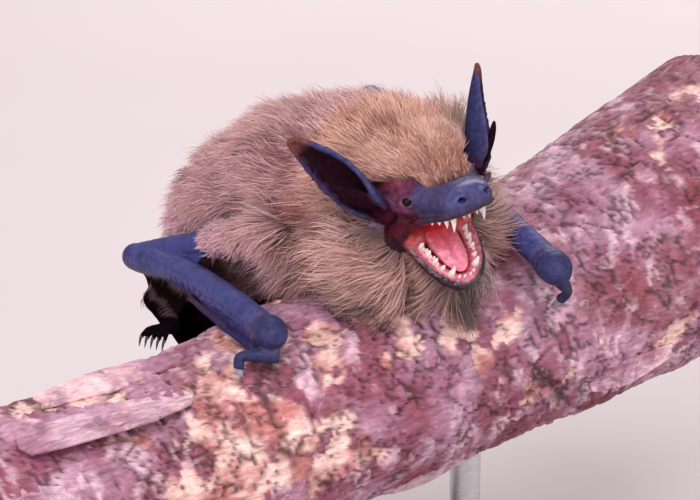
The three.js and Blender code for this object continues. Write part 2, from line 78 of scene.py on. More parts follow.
def shade(hexCode):
    channels = np.array([int(hexCode[i:i + 2], 16) for i in (0, 2, 4)]) / 255
    return np.where(channels <= 0.04045, channels / 12.92, ((channels + 0.055) / 1.055) ** 2.4)


def turned(axis, degrees):
    return np.array(Matrix.Rotation(math.radians(degrees), 3, axis))


def boxMiddle(node):
    low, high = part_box(node)
    return (np.array(low) + np.array(high)) / 2 / mm


pose = {"turn": -2, "noseUp": 10.5, "leftUp": 11, "eye": (4.72, -3.05, 0.15)}
headTurn = turned("Z", pose["turn"]) @ turned("X", -pose["noseUp"]) @ turned("Y", -pose["leftUp"])
eyesMiddle = np.array([0, pose["eye"][1], pose["eye"][2]])
headAt = (boxMiddle("eye_left") + boxMiddle("eye_right")) / 2 - headTurn @ eyesMiddle


def selectOnly(*objects):
    bpy.ops.object.select_all(action="DESELECT")
    for obj in objects:
        obj.select_set(True)
    bpy.context.view_layer.objects.active = objects[0]


# What each item of a mesh keeps under a word, one row for each.
def readAll(items, word, width=3, kind=np.float32):
    values = np.empty(len(items) * width, kind)
    items.foreach_get(word, values)
    return values.reshape(-1, width)


def pointsOf(obj):
    return readAll(obj.data.vertices, "co").astype(float)


def normalsOf(obj):
    return readAll(obj.data.vertices, "normal").astype(float)


def cornersOf(obj):
    obj.data.calc_loop_triangles()
    return readAll(obj.data.loop_triangles, "vertices", 3, np.int32)


def movePoints(obj, points):
    obj.data.vertices.foreach_set("co", np.asarray(points, np.float32).ravel())
    obj.data.update()


def volumeOf(obj):
    a, b, c = np.moveaxis(pointsOf(obj)[cornersOf(obj)], 1, 0)
    return np.einsum("ij,ij->", a, np.cross(b, c)) / 6


def facingOut(obj):
    if volumeOf(obj) < 0:
        obj.data.flip_normals()
    return obj


def applied(obj, kind, **choices):
    modifier = obj.modifiers.new(kind.lower(), kind)
    for word, value in choices.items():
        setattr(modifier, word, value)
    selectOnly(obj)
    bpy.ops.object.modifier_apply(modifier=modifier.name)
    return obj


def joined(name, objects):
    selectOnly(*objects)
    if len(objects) > 1:
        bpy.ops.object.join()
    obj = bpy.context.view_layer.objects.active
    obj.name = obj.data.name = name
    return obj


def copyOf(obj, name):
    new = obj.copy()
    new.data = obj.data.copy()
    new.name = new.data.name = name
    bpy.context.collection.objects.link(new)
    return new


def inHead(obj):
    movePoints(obj, pointsOf(obj) @ headTurn.T)
    return obj


def rounded(obj):
    selectOnly(obj)
    bpy.ops.object.shade_smooth()
    return obj


def softEdged(obj, degrees):
    selectOnly(obj)
    bpy.ops.object.shade_smooth_by_angle(angle=math.radians(degrees))
    return obj


def addBall(segments, rings, radius=1):
    bpy.ops.mesh.primitive_uv_sphere_add(segments=segments, ring_count=rings, radius=radius)
    return bpy.context.object


def addCylinder(radius, depth, at=(0, 0, 0), vertices=48):
    bpy.ops.mesh.primitive_cylinder_add(vertices=vertices, radius=radius, depth=depth, location=at)
    return bpy.context.object


# Places or directions from their parts, each an array or one number for all.
def stacked(*parts):
    return np.stack(np.broadcast_arrays(*parts), -1)


# A finished piece goes to its place in the frame and stands for its CAD nodes.
def finished(obj, name, slot, *nodes, material=None):
    obj.name = obj.data.name = name
    movePoints(obj, (pointsOf(obj) + headAt) * mm)
    if material:
        obj.data.materials.clear()
        obj.data.materials.append(material)
    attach(obj, "root")
    if nodes:
        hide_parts(*nodes)
    return obj


# Smooth noise from 0 to 1 over points, from a lattice of hashed corners.
def noiseAt(points, size, seed=0, octaves=1):
    total, weight, strength = 0, 0, 1.0
    for octave in range(octaves):
        place = np.asarray(points, float) * (2 ** octave) / size + 37.1 * octave + 11.7 * seed
        cell = np.floor(place).astype(np.int64)
        t = place - cell
        t = t * t * (3 - 2 * t)
        value = 0
        for corner in range(8):
            step = np.array([corner & 1, corner >> 1 & 1, corner >> 2 & 1])
            share = np.prod(np.where(step, t, 1 - t), axis=-1)
            value = value + share * hashed(cell + step, seed)
        total = total + strength * value
        weight += strength
        strength *= 0.5
    return total / weight


def hashed(cells, seed=0):
    x = cells.astype(np.uint64)
    key = x[..., 0] * np.uint64(73856093) ^ x[..., 1] * np.uint64(19349663) ^ x[..., 2] * np.uint64(83492791)
    key = (key ^ np.uint64(seed * 7919 + 17)) * np.uint64(0x9E3779B97F4A7C15)
    key = (key ^ (key >> np.uint64(29))) * np.uint64(0xBF58476D1CE4E5B9)
    return ((key >> np.uint64(40)) & np.uint64(0xFFFFFF)).astype(float) / 0xFFFFFF


# Cracked plates: how far each point is from a crack, and a number that its plate keeps.
def platesAt(points, size, seed=0):
    place = np.asarray(points, float) / size
    cell = np.floor(place).astype(np.int64)
    first = np.full(len(place), 9.0)
    second = np.full(len(place), 9.0)
    plate = np.zeros(len(place))
    for step in np.ndindex(3, 3, 3):
        near = cell + np.array(step) - 1
        centre = near + np.stack([hashed(near, seed + k) for k in range(3)], -1)
        gap = np.linalg.norm(centre - place, axis=-1)
        closer = gap < first
        second = np.where(closer, first, np.minimum(second, gap))
        plate = np.where(closer, hashed(near, seed + 5), plate)
        first = np.where(closer, gap, first)
    return second - first, plate


# A smooth line through knots, read at shares from 0 to 1.
def lineThrough(knots, shares):
    knots = np.asarray(knots, float)
    ends = np.vstack([2 * knots[0] - knots[1], knots, 2 * knots[-1] - knots[-2]])
    place = np.clip(shares, 0, 1) * (len(knots) - 1)
    i = np.minimum(place.astype(int), len(knots) - 2)
    t = (place - i)[..., None]
    a, b, c, d = ends[i], ends[i + 1], ends[i + 2], ends[i + 3]
    return b + 0.5 * t * (c - a + t * (2 * a - 5 * b + 4 * c - d + t * (3 * (b - c) + d - a)))


# Half width, height and depth, where one that is left out is as the one before it.
def widthsOf(wide, high=None, deep=None):
    high = wide if high is None else high
    return [wide, high, high if deep is None else deep]


# A rounded body along a line, shaped from a ball. A station is (point, half width, height, depth),
# and inset takes the depth of the coat off it, down to the thinnest that is left.
def loft(stations, rings=40, around=40, up=(0, 0, 1), square=2, inset=0):
    obj = addBall(around, rings)
    x, y, z = pointsOf(obj).T
    share = np.arccos(np.clip(z, -1, 1)) / math.pi
    angle = np.arctan2(y, x)
    knots = np.array([station[0] for station in stations], float)
    sizes = np.array([widthsOf(*station[1:]) for station in stations])
    if inset:
        sizes = np.where(sizes > 0, np.maximum(sizes - inset, thinnest), 0)
        for end, beside in ((0, 1), (-1, -2)):
            knots[end] += inset * unit(knots[beside] - knots[end])
    t = 0.5 * share + 0.5 * (0.5 - 0.5 * np.cos(math.pi * share))
    centre = lineThrough(knots, t)
    size = np.sqrt(np.maximum(lineThrough(sizes ** 2, t), 0.0025))
    size[(share < 1e-4) | (share > 1 - 1e-4)] = 0
    inner = np.clip(t, 0.01, 0.99)
    along = unit(lineThrough(knots, inner + 1e-4) - lineThrough(knots, inner - 1e-4))
    across = unit(np.cross(along, up))
    over = np.cross(across, along)
    c, s = (np.sign(v) * np.abs(v) ** (2 / square) for v in (np.cos(angle), np.sin(angle)))
    height = np.where(s > 0, size[:, 1], size[:, 2])
    movePoints(obj, centre + across * (size[:, 0] * c)[:, None] + over * (height * s)[:, None])
    return facingOut(obj)


def limb(points, radii, **choices):
    points = [np.asarray(p, float) for p in points]
    ends = mix(points[0], points[1], -0.04), mix(points[-1], points[-2], -0.04)
    stations = [(ends[0], 0), *zip(points, radii), (ends[1], 0)]
    return loft(stations, **{"rings": 36, "around": 20, **choices})


# A sheet over place(u, v), shaped from a flat grid and given its thickness.
def sheet(place, thickness=0.6, across=24, along=24):
    bpy.ops.mesh.primitive_grid_add(x_subdivisions=across, y_subdivisions=along, size=1)
    obj = bpy.context.object
    flat = pointsOf(obj)
    movePoints(obj, place(flat[:, 0] + 0.5, flat[:, 1] + 0.5))
    return facingOut(applied(obj, "SOLIDIFY", thickness=thickness, offset=0, use_even_offset=True))


# Distance from points to a polyline, and the share of its length at the nearest place.
def nearLine(points, line):
    line = np.asarray(line, float)
    best, where = np.full(len(points), 1e9), np.zeros(len(points))
    for i, (a, b) in enumerate(zip(line, line[1:])):
        t = np.clip((points - a) @ (b - a) / ((b - a) @ (b - a)), 0, 1)
        gap = np.linalg.norm(points - a - t[:, None] * (b - a), axis=1)
        where = np.where(gap < best, (i + t) / (len(line) - 1), where)
        best = np.minimum(best, gap)
    return best, where


def paint(obj, word, colours):
    layer = obj.data.color_attributes.new(word, "FLOAT_COLOR", "POINT")
    full = np.ones((len(colours), 4), np.float32)
    full[:, :3] = colours
    layer.data.foreach_set("color", full.ravel())


def mark(obj, word, values):
    layer = obj.data.attributes.new(word, "FLOAT", "POINT")
    layer.data.foreach_set("value", np.asarray(values, np.float32))


# A colour for each point, with named colours laid over it one after another.
class Tone:
    def __init__(self, start, colours):
        self.values, self.colours = start, colours

    def lay(self, word, amount):
        self.values = mix(self.values, self.colours[word], np.clip(amount, 0, 1)[:, None])

    def scale(self, amount):
        self.values = self.values * amount[:, None]


# The camera looks down on the bat from its right front.
shot = {"azimuth": -33.3, "elevation": 19.4, "distance": 330, "lens": 135, "aside": -9.71, "below": -7.92}


def buildShot():
    a, e = math.radians(shot["azimuth"]), math.radians(shot["elevation"])
    back = np.array([math.sin(a) * math.cos(e), -math.cos(a) * math.cos(e), math.sin(e)])
    aside = np.array([math.cos(a), math.sin(a), 0])
    above = np.cross(back, aside)
    aim = headAt + shot["aside"] * aside + shot["below"] * above
    data = bpy.data.cameras.new("camera")
    data.lens = shot["lens"]
    data.clip_start, data.clip_end = 0.01, 20
    camera = bpy.data.objects.new("camera", data)
    bpy.context.collection.objects.link(camera)
    camera.location = Vector((aim + back * shot["distance"]) * mm)
    camera.rotation_mode = "QUATERNION"
    camera.rotation_quaternion = Vector(-back).to_track_quat("-Z", "Y")
    bpy.context.scene.camera = camera


lights = {
    "key": {"at": (-0.16, -0.34, 0.56), "size": 0.34, "power": 2.7, "colour": (1, 0.955, 0.93)},
    "fill": {"at": (-0.60, -0.16, 0.20), "size": 0.50, "power": 2.0, "colour": (0.95, 0.92, 1)},
    "rim": {"at": (0.34, 0.42, 0.44), "size": 0.40, "power": 2.4, "colour": (1, 0.93, 0.96)},
    "front": {"at": (0.36, -0.52, 0.16), "size": 0.40, "power": 0.9, "colour": (1, 0.96, 0.96)},
    "glint": {"at": (-0.40, -0.27, 0.25), "size": 0.03, "power": 0.25, "colour": (1, 0.98, 1)},
}


studio = {"colour": (0.93, 0.88, 0.90, 1), "strength": 0.42, "floor": 8}


def buildLight():
    for name, light in lights.items():
        data = bpy.data.lights.new(name, "AREA")
        data.size, data.energy, data.color = light["size"], light["power"], light["colour"]
        lamp = bpy.data.objects.new(name, data)
        bpy.context.collection.objects.link(lamp)
        lamp.location = Vector(light["at"])
        middle = Vector(headAt * mm)
        lamp.rotation_euler = (middle - lamp.location).to_track_quat("-Z", "Y").to_euler()
    world = bpy.data.worlds.new("studio")
    world.use_nodes = True
    inputs = world.node_tree.nodes["Background"].inputs
    inputs["Color"].default_value, inputs["Strength"].default_value = studio["colour"], studio["strength"]
    bpy.context.scene.world = world
    bpy.context.scene.view_settings.view_transform = "Standard"


# A material's nodes, and the few ways in which they are joined.
class Nodes:
    def __init__(self, name, **sockets):
        self.material = bpy.data.materials.new(name)
        self.material.use_nodes = True
        self.tree = self.material.node_tree
        self.shader = self.tree.nodes["Principled BSDF"]
        for word, value in sockets.items():
            self.shader.inputs[word.replace("_", " ")].default_value = value

    def add(self, kind, **values):
        node = self.tree.nodes.new("ShaderNode" + kind)
        for word, value in values.items():
            if hasattr(node, word):
                setattr(node, word, value)
            else:
                node.inputs[word.replace("_", " ")].default_value = value
        return node

    def link(self, out, into):
        self.tree.links.new(out, into)

    def place(self, scale=(1, 1, 1)):
        mapping = self.add("Mapping")
        mapping.inputs["Scale"].default_value = scale
        self.link(self.add("TexCoord").outputs["Object"], mapping.inputs["Vector"])
        return mapping.outputs["Vector"]

    def noise(self, scale, detail=3, stretch=(1, 1, 1), distortion=0):
        node = self.add("TexNoise", Scale=scale, Detail=detail, Distortion=distortion)
        self.link(self.place(stretch), node.inputs["Vector"])
        return node.outputs["Fac"]

    def ramp(self, value, *stops):
        node = self.add("ValToRGB")
        elements = node.color_ramp.elements
        for i, (place, colour) in enumerate(stops):
            element = elements[i] if i < 2 else elements.new(place)
            element.position, element.color = place, (*colour, 1)
        self.link(value, node.inputs["Fac"])
        return node.outputs["Color"]

    def attribute(self, word, output="Color"):
        return self.add("Attribute", attribute_name=word).outputs[output]

    def blend(self, a, b, amount=0.5, kind="MIX"):
        node = self.add("Mix", data_type="RGBA", blend_type=kind)
        sockets = [node.inputs[0], node.inputs[6], node.inputs[7]]
        for value, socket in zip((amount, a, b), sockets):
            if isinstance(value, bpy.types.NodeSocket):
                self.link(value, socket)
            else:
                socket.default_value = value
        return node.outputs[2]

    def tinted(self, word, value, *stops):
        return self.blend(self.attribute(word), self.ramp(value, *stops), 1.0, "MULTIPLY")

    def colour(self, out):
        self.link(out, self.shader.inputs["Base Color"])

    def rough(self, value, low, high, word="Roughness"):
        node = self.add("MapRange", To_Min=low, To_Max=high)
        self.link(value, node.inputs["Value"])
        self.link(node.outputs["Result"], self.shader.inputs[word])

    def bump(self, *layers):
        normal = None
        for value, distance, strength in layers:
            node = self.add("Bump", Distance=distance, Strength=strength)
            self.link(value, node.inputs["Height"])
            if normal:
                self.link(normal, node.inputs["Normal"])
            normal = node.outputs["Normal"]
        self.link(normal, self.shader.inputs["Normal"])


def makeSkin(name):
    n = Nodes(name, Roughness=0.56, Specular_IOR_Level=0.1)
    speckle = n.noise(1600, 3)
    n.colour(n.tinted("skinTone", speckle, (0.3, (0.72, 0.72, 0.76)), (0.7, (1.25, 1.22, 1.2))))
    n.rough(n.attribute("wet", "Fac"), 0.52, 0.16)
    n.rough(n.attribute("wet", "Fac"), 0.0, 0.6, "Specular IOR Level")
    wrinkle = n.noise(900, 4, (1, 1, 1), 0.8)
    pores = n.noise(3800, 2)
    n.bump((wrinkle, 0.00022, 0.55), (pores, 0.00006, 0.5))
    return n.material


def makeFur():
    n = Nodes("batFur", Roughness=0.62, Specular_IOR_Level=0.28, Sheen_Weight=0.35, Sheen_Roughness=0.5)
    n.shader.inputs["Sheen Tint"].default_value = (1, 0.86, 0.82, 1)
    streak = n.noise(2400, 2)
    n.colour(n.tinted("furTone", streak, (0.25, (0.8, 0.8, 0.8)), (0.75, (1.18, 1.17, 1.16))))
    return n.material


def makeEye():
    n = Nodes("batEye", Roughness=0.06, Specular_IOR_Level=0.12)
    depth = n.noise(900, 2)
    n.colour(n.ramp(depth, (0.3, (0.004, 0.003, 0.004)), (0.8, (0.02, 0.011, 0.012))))
    return n.material


def makeTooth():
    n = Nodes("batTooth", Roughness=0.22, Specular_IOR_Level=0.55, Coat_Weight=0.4, Coat_Roughness=0.12)
    n.colour(n.tinted("toothTone", n.noise(1800, 2), (0.3, (0.9, 0.88, 0.87)), (0.7, (1.05, 1.04, 1.04))))
    n.bump((n.noise(5200, 2), 0.00002, 0.4))
    return n.material


def makeClaw():
    n = Nodes("batClaw", Roughness=0.3, Specular_IOR_Level=0.5)
    layers = n.noise(2500, 3, (1, 1, 3))
    n.colour(n.tinted("clawTone", layers, (0.3, (0.82, 0.82, 0.84)), (0.7, (1.12, 1.1, 1.1))))
    n.bump((n.noise(4200, 2, (1, 1, 3)), 0.00003, 0.5))
    return n.material


def makeBark():
    n = Nodes("perchBark", Roughness=0.78, Specular_IOR_Level=0.3)
    grain = n.noise(1500, 5, (0.35, 1, 1), 0.6)
    fleckAndHighlight = n.noise(620, 4, (0.7, 1, 1), 1.2)
    tone = n.tinted("barkTone", grain, (0.28, (0.62, 0.58, 0.6)), (0.72, (1.32, 1.3, 1.32)))
    # Pale, shinier flecks are added to the bark colour: partly the bark's own flecks, partly painted
    # highlight.
    n.colour(n.blend(tone, n.ramp(fleckAndHighlight, (0.62, (0, 0, 0)), (0.74, (0.26, 0.2, 0.22))), 0.8, "ADD"))
    n.rough(fleckAndHighlight, 0.9, 0.5)
    n.bump((grain, 0.00035, 0.7), (n.noise(3600, 3, (0.5, 1, 1)), 0.0001, 0.6))
    return n.material


def makeSawnWood():
    n = Nodes("sawnWood", Roughness=0.8, Specular_IOR_Level=0.25)
    fibre = n.noise(2600, 3)
    n.colour(n.tinted("barkTone", fibre, (0.3, (0.82, 0.8, 0.78)), (0.7, (1.15, 1.15, 1.15))))
    n.bump((fibre, 0.00012, 0.5), (n.attribute("ring", "Fac"), 0.0002, 0.6))
    return n.material


def makeStandWood():
    n = Nodes("standWood", Roughness=0.4, Specular_IOR_Level=0.5, Coat_Weight=0.25, Coat_Roughness=0.18)
    grain = n.noise(260, 6, (0.12, 1.6, 1), 1.4)
    stains = [(0.3, "2a1c16"), (0.55, "4b3226"), (0.75, "6a4936")]
    n.colour(n.ramp(grain, *((place, tuple(shade(code))) for place, code in stains)))
    n.rough(grain, 0.36, 0.52)
    n.bump((n.noise(1500, 3, (0.08, 1, 1)), 0.00008, 0.45))
    return n.material


def makeSteel():
    n = Nodes("standSteel", Metallic=1.0, Roughness=0.3)
    brushed = n.noise(900, 3, (1, 1, 12))
    n.colour(n.ramp(brushed, (0.3, (0.48, 0.48, 0.5)), (0.7, (0.66, 0.66, 0.68))))
    n.rough(brushed, 0.22, 0.38)
    n.bump((brushed, 0.00002, 0.3))
    return n.material


def makeFloor():
    n = Nodes("paleFloor", Roughness=0.85, Specular_IOR_Level=0.2)
    n.colour(n.ramp(n.noise(6, 2), (0.3, (0.66, 0.60, 0.61)), (0.7, (0.70, 0.64, 0.65))))
    return n.material


def buildFloor():
    bpy.ops.object.select_all(action="DESELECT")
    bpy.ops.mesh.primitive_plane_add(size=studio["floor"], location=(0, 0, cadBox[0].z))
    floor = bpy.context.object
    floor.name = "floor"
    floor.data.materials.append(makeFloor())


# The stand: a round base, and two rods with a collar round each.
stand = {"bevel": 1.1, "collarRadius": 3.4, "collarHigh": 1.6, "collarBevel": 0.45, "rod": 2.1, "sharp": 35}


def buildStand():
    low, high = (np.array(corner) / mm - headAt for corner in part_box("stand_base"))
    middle, size = (low + high) / 2, high - low
    base = addCylinder(0.5, 1, vertices=160)
    movePoints(base, pointsOf(base) * size + middle)
    applied(base, "BEVEL", width=stand["bevel"], segments=5, limit_method="ANGLE",
            angle_limit=math.radians(40))
    softEdged(base, stand["sharp"])
    finished(base, "standBase", "stand_wood", "stand_base", material=makeStandWood())
    steel = makeSteel()
    for side in ("left", "right"):
        node = "stand_rod_" + side
        rodLow, rodHigh = (np.array(corner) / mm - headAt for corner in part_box(node))
        centre = (rodLow + rodHigh) / 2
        rod = addCylinder(stand["rod"], rodHigh[2] - rodLow[2], centre)
        collarAt = (centre[0], centre[1], high[2] + stand["collarHigh"] / 2)
        collar = addCylinder(stand["collarRadius"], stand["collarHigh"], collarAt)
        applied(collar, "BEVEL", width=stand["collarBevel"], segments=4, limit_method="ANGLE")
        for piece in (rod, collar):
            selectOnly(piece)
            bpy.ops.object.transform_apply(location=True, rotation=True, scale=True)
            softEdged(piece, stand["sharp"])
        finished(joined(node, [rod, collar]), "standRod" + side.title(), "steel", node, material=steel)
    print("stand done")


# The branch: points and radii along its middle line, and the colours of its bark and wood.
branch = {
    "line": [
        (-90, 10, -35.6, 14.2), (-68, 10, -35.6, 14.2), (-50, 10, -35.4, 14.2), (-36, 10, -34.8, 14.1),
        (-22, 10, -32.5, 14.0), (-10, 10, -30.2, 14.7), (0, 10.2, -28.4, 15.2), (10, 11, -27.1, 15.6),
        (20, 12.1, -25.8, 16.3), (33, 13.5, -23.5, 17.5), (45, 14.8, -21.2, 18.9), (57, 16, -18, 19.6),
        (72, 17.2, -13.2, 20.4), (92, 18.5, -7, 20.8)],
    "cutRight": -65, "cutLeft": 65, "slope": 0.2,
    "around": 300, "along": 290, "capRows": 9, "flat": 0.97, "endDepth": 0.15,
    "plates": (4.4, 8.0, 8.0), "flakes": (1.15, 3.2, 3.2),
}
barkTones = {
    "old": shade("8d5064"), "grey": shade("b3889d"), "pale": shade("ecccd9"), "red": shade("80403f"),
    "orange": shade("b47470"), "cream": shade("eac6bc"), "crack": shade("2e141c"),
    "wood": shade("c2a07a"), "ring": shade("96704f"),
}


def branchRing(x):
    knots = np.array(branch["line"], float)
    y, z, radius = (np.interp(x, knots[:, 0], knots[:, k]) for k in (1, 2, 3))
    return stacked(x, y, z), radius


def branchPoint(x, angle, lift=0):
    slope = branch["slope"]
    centre, radius = branchRing(np.asarray(x, float))
    outward = (np.cos(angle)[..., None] * np.array([0, 1, 0])
               + np.sin(angle)[..., None] * np.array([-math.sin(slope), 0, math.cos(slope)]))
    return centre + outward * (radius + lift)[..., None], outward


# The bark's relief and colour at points on the branch.
def barkAt(points):
    warp = np.stack([noiseAt(points, 9, seed, 3) for seed in (1, 2, 3)], -1) - 0.5
    place = points + 5.5 * warp
    crack = platesAt(place, np.array(branch["plates"]), 4)[0]
    smallCrack, flake = platesAt(place + 1.5 * warp, np.array(branch["flakes"]), 9)
    zone = noiseAt(points, 17, 21, 2)
    ragged = noiseAt(place, 4.5, 22, 4)
    bare = smooth(0.572, 0.59, 0.5 * zone + 0.42 * ragged + 0.08 * flake)
    broken = smooth(0.42, 0.6, noiseAt(points, 7, 25, 2))
    scaly = smooth(0.4, 0.75, flake) * (1 - bare)
    lumps = noiseAt(points, 13, 31, 3)
    rings = noiseAt(points * np.array([2.2, 0.35, 0.35]), 1.6, 41, 3)
    height = 1.3 * (lumps - 0.55) - 0.4 * broken * (1 - smooth(0.0, 0.1, crack)) - 0.35 * bare
    flaking = 0.16 * scaly * smooth(0.02, 0.16, smallCrack) - 0.16 * (1 - smooth(0, 0.12, smallCrack))
    height += flaking + 0.3 * (rings - 0.5)
    tones = barkTones
    tone = mix(tones["old"], tones["grey"], smooth(0.35, 0.7, noiseAt(points, 6, 51, 3))[:, None])
    tone = mix(tone, tones["red"], (0.55 * smooth(0.5, 0.66, noiseAt(points, 11, 61, 2)))[:, None])
    # Pale lilac patches on the scaly plates: partly the bark's pale colour, partly painted highlight.
    tone = mix(tone, tones["pale"], (0.6 * scaly * smooth(0.42, 0.66, noiseAt(points, 3.4, 71, 3)))[:, None])
    inner = mix(tones["orange"], tones["cream"], smooth(0.35, 0.62, noiseAt(points, 3.2, 81, 3))[:, None])
    tone = mix(tone, inner, bare[:, None])
    # The cracks are painted near-black: partly the bark's darker colour in them, partly painted shade in the
    # carved recesses.
    torn = smooth(0.42, 0.56, noiseAt(points, 3.4, 26, 2))
    smallCrackShade = 0.85 * torn * (1 - smooth(0.03, 0.13, smallCrack))
    deep = np.maximum(broken * (1 - smooth(0.0, 0.055, crack)), smallCrackShade)
    tone = mix(tone, tones["crack"], (0.85 * deep)[:, None])
    # Lighter on the raised rings and darker in the grooves between them: painted light and shade.
    return height, tone * (0.78 + 0.5 * rings)[:, None]


def buildBranch():
    across, along, capRows = branch["around"], branch["along"], branch["capRows"]
    bpy.ops.mesh.primitive_grid_add(x_subdivisions=across, y_subdivisions=along, size=1)
    obj = bpy.context.object
    flat = pointsOf(obj)
    angle = 2 * math.pi * (flat[:, 0] + 0.5)
    row = np.rint((flat[:, 1] + 0.5) * along)
    inner = along - 2 * capRows
    share = np.clip((row - capRows) / inner, 0, 1)
    capShare = np.clip(np.minimum(row, along - row) / capRows, 0, 1)
    x = branch["cutRight"] + (branch["cutLeft"] - branch["cutRight"]) * share
    points, outward = branchPoint(x, angle, np.zeros(len(x)))
    height, tone = barkAt(points)
    edge = smooth(0, 0.012, share) * smooth(0, 0.012, 1 - share)
    height = np.where(capShare < 1, 0, height * (0.35 + 0.65 * edge)) - 0.25
    centre = branchRing(x)[0]
    rim = points + outward * height[:, None]
    middle = centre + (rim - centre) * capShare[:, None]
    gap = np.linalg.norm(middle - centre, axis=1)
    wave = gap + 1.2 * noiseAt(middle, 7, 5, 2)
    ring = 0.5 + 0.5 * np.sin(wave * 4.4)
    woodTone = mix(barkTones["wood"], barkTones["ring"], (0.7 * ring * smooth(0.5, 3, gap))[:, None])
    woodTone = mix(woodTone, barkTones["crack"], (0.8 * smooth(0.90, 0.99, capShare))[:, None])
    isCap = capShare < 0.999
    movePoints(obj, np.where(isCap[:, None], middle, rim))
    paint(obj, "barkTone", np.where(isCap[:, None], woodTone, tone))
    mark(obj, "ring", ring)
    selectOnly(obj)
    bpy.ops.object.mode_set(mode="EDIT")
    bpy.ops.mesh.select_all(action="SELECT")
    bpy.ops.mesh.remove_doubles(threshold=0.002)
    bpy.ops.object.mode_set(mode="OBJECT")
    facingOut(obj)
    bark = makeBark()
    finished(obj, "perchBark", "bark", "perch_branch", material=bark)
    obj.data.materials.append(makeSawnWood())
    plane = np.array([math.cos(branch["slope"]), 0, math.sin(branch["slope"])])
    facing = np.abs(readAll(obj.data.polygons, "normal") @ plane)
    place = (readAll(obj.data.polygons, "center") / mm - headAt) @ plane
    atEnd = (place < place.min() + branch["endDepth"]) | (place > place.max() - branch["endDepth"])
    sawn = (facing > branch["flat"]) & atEnd
    obj.data.polygons.foreach_set("material_index", sawn.astype(np.int32))
    softEdged(obj, 60)
    print("branch done", len(obj.data.polygons))
    return bark


peels = [
    {"from": -54, "to": -30, "angle": 118, "wide": 24, "lift": 3.4, "curls": "up"},
    {"from": -47, "to": -27, "angle": 88, "wide": 13, "lift": 1.7, "curls": "down"},
    {"from": -62, "to": -50, "angle": 150, "wide": 20, "lift": 2.6, "curls": "up"},
    {"from": 24, "to": 38, "angle": 205, "wide": 11, "lift": 1.4, "curls": "up"},
    {"from": -8, "to": 6, "angle": 232, "wide": 9, "lift": 1.1, "curls": "up"},
]


def buildPeels(bark):
    strips = []
    for seed, peel in enumerate(peels):
        def place(u, v, peel=peel, seed=seed):
            ragged = 2.2 * (noiseAt(stacked(9 * v, 0, 0), 1, seed) - 0.5)
            x = mix(peel["from"], peel["to"], v) + ragged * (2 * np.abs(u - 0.5))
            taper = 0.35 + 0.65 * np.sin(math.pi * np.clip(0.15 + 0.8 * v, 0, 1))
            angle = np.radians(peel["angle"] + (u - 0.5) * peel["wide"] * taper)
            raised = u if peel["curls"] == "up" else 1 - u
            lift = -0.5 + peel["lift"] * raised ** 2 * np.sin(math.pi * (0.1 + 0.85 * v))
            lift += 0.35 * (noiseAt(stacked(x, 8 * u, 0), 3, seed + 3, 2) - 0.5)
            return branchPoint(x, angle, lift)[0]
        strips.append(sheet(place, 0.45, 40, 60))
    obj = joined("barkPeels", strips)
    points = pointsOf(obj)
    tone = barkAt(points)[1]
    points += normalsOf(obj) * (0.12 * (noiseAt(points, 1.2, 7, 2) - 0.5))[:, None]
    movePoints(obj, points)
    pale = smooth(0.4, 0.6, noiseAt(points, 5, 17, 2))[:, None]
    paint(obj, "barkTone", mix(tone, mix(barkTones["grey"], barkTones["pale"], pale), 0.55))
    finished(rounded(obj), "barkPeels", "bark", material=bark)


# The ends of the bones on each side, from which limbs, wings and claws are shaped.
right = {
    "shoulder": (-11.4, 17.5, -8.8), "elbow": (-16.1, 47.5, -20.3), "wrist": (-22.2, 1.8, -15.6),
    "thumb": [(-22.2, 0.6, -18.2), (-26.2, 2.2, -17.9), (-26.6, 2.1, -19.3)],
    "claw": [(-26.6, 2.05, -19.7), (-26.4, 1.8, -20.8)],
    "hip": (-7, 44, -17), "knee": (-17, 41, -24.2), "ankle": (-24.5, 22.5, -20.8),
    "toes": (-28.8, 20.3, -21.3),
    "fingerShift": (-2.45, 0, -1.3)}
left = {
    "shoulder": (10, 16, -3), "elbow": (16.8, 38, -0.3), "wrist": (14.6, -7.9, -11.4),
    "thumb": [(15.2, -8.4, -13.2), (17.4, -7, -15.4), (17.6, -5.4, -16.9)],
    "claw": [(17.6, -5.1, -17.2), (17.5, -3.4, -18.6)],
    "hip": (5, 44, -14), "knee": (17.2, 42, -14.5), "ankle": (24, 25, -9.6), "toes": (25.6, 24.0, -9.8),
    "fingerShift": (2.45, -0.3, -1.3)}
sides = {"right": right, "left": left}
for bones in sides.values():
    for word, place in bones.items():
        bones[word] = np.array(place, float)
tailLine = [(-2, 52, -21), (-2, 57, -28), (-1.6, 54.5, -36), (-1, 47, -40.5), (-0.4, 39, -40)]

jaw = {"hinge": (0, 4.5, -2.5), "gape": 53, "length": 13.4}
jawDip = math.radians(jaw["gape"])
jawUp = (0, -math.sin(jawDip), math.cos(jawDip))


def onJaw(x, v, w):
    y = jaw["hinge"][1] - v * math.cos(jawDip) - w * math.sin(jawDip)
    return (x, y, jaw["hinge"][2] - v * math.sin(jawDip) + w * math.cos(jawDip))


ear = {
    "root": (6.6, 1.0, -0.5), "tall": (0.546, 0.262, 0.794), "facing": (0.84, -0.54, 0), "length": 14.4,
    "halfArc": [3.1, 4.3, 4.8, 4.5, 3.6, 2.3, 1.0], "curl": [112, 98, 78, 62, 52, 44, 40],
    "thick": 0.6, "rear": 0.46, "bend": 1.6}


def earAxes(side):
    flip = np.array([side, 1, 1])
    tall = unit(np.array(ear["tall"]) * flip)
    facing = np.array(ear["facing"]) * flip
    facing = unit(facing - tall * (facing @ tall))
    return np.array(ear["root"]) * flip, tall, facing, np.cross(tall, facing) * side


# The ear's curl, and the radius that goes with it, at shares of its length.
def earCurl(v):
    shares = np.linspace(0, 1, len(ear["curl"]))
    curl = np.radians(np.interp(v, shares, ear["curl"]))
    return curl, np.interp(v, shares, ear["halfArc"]) / curl


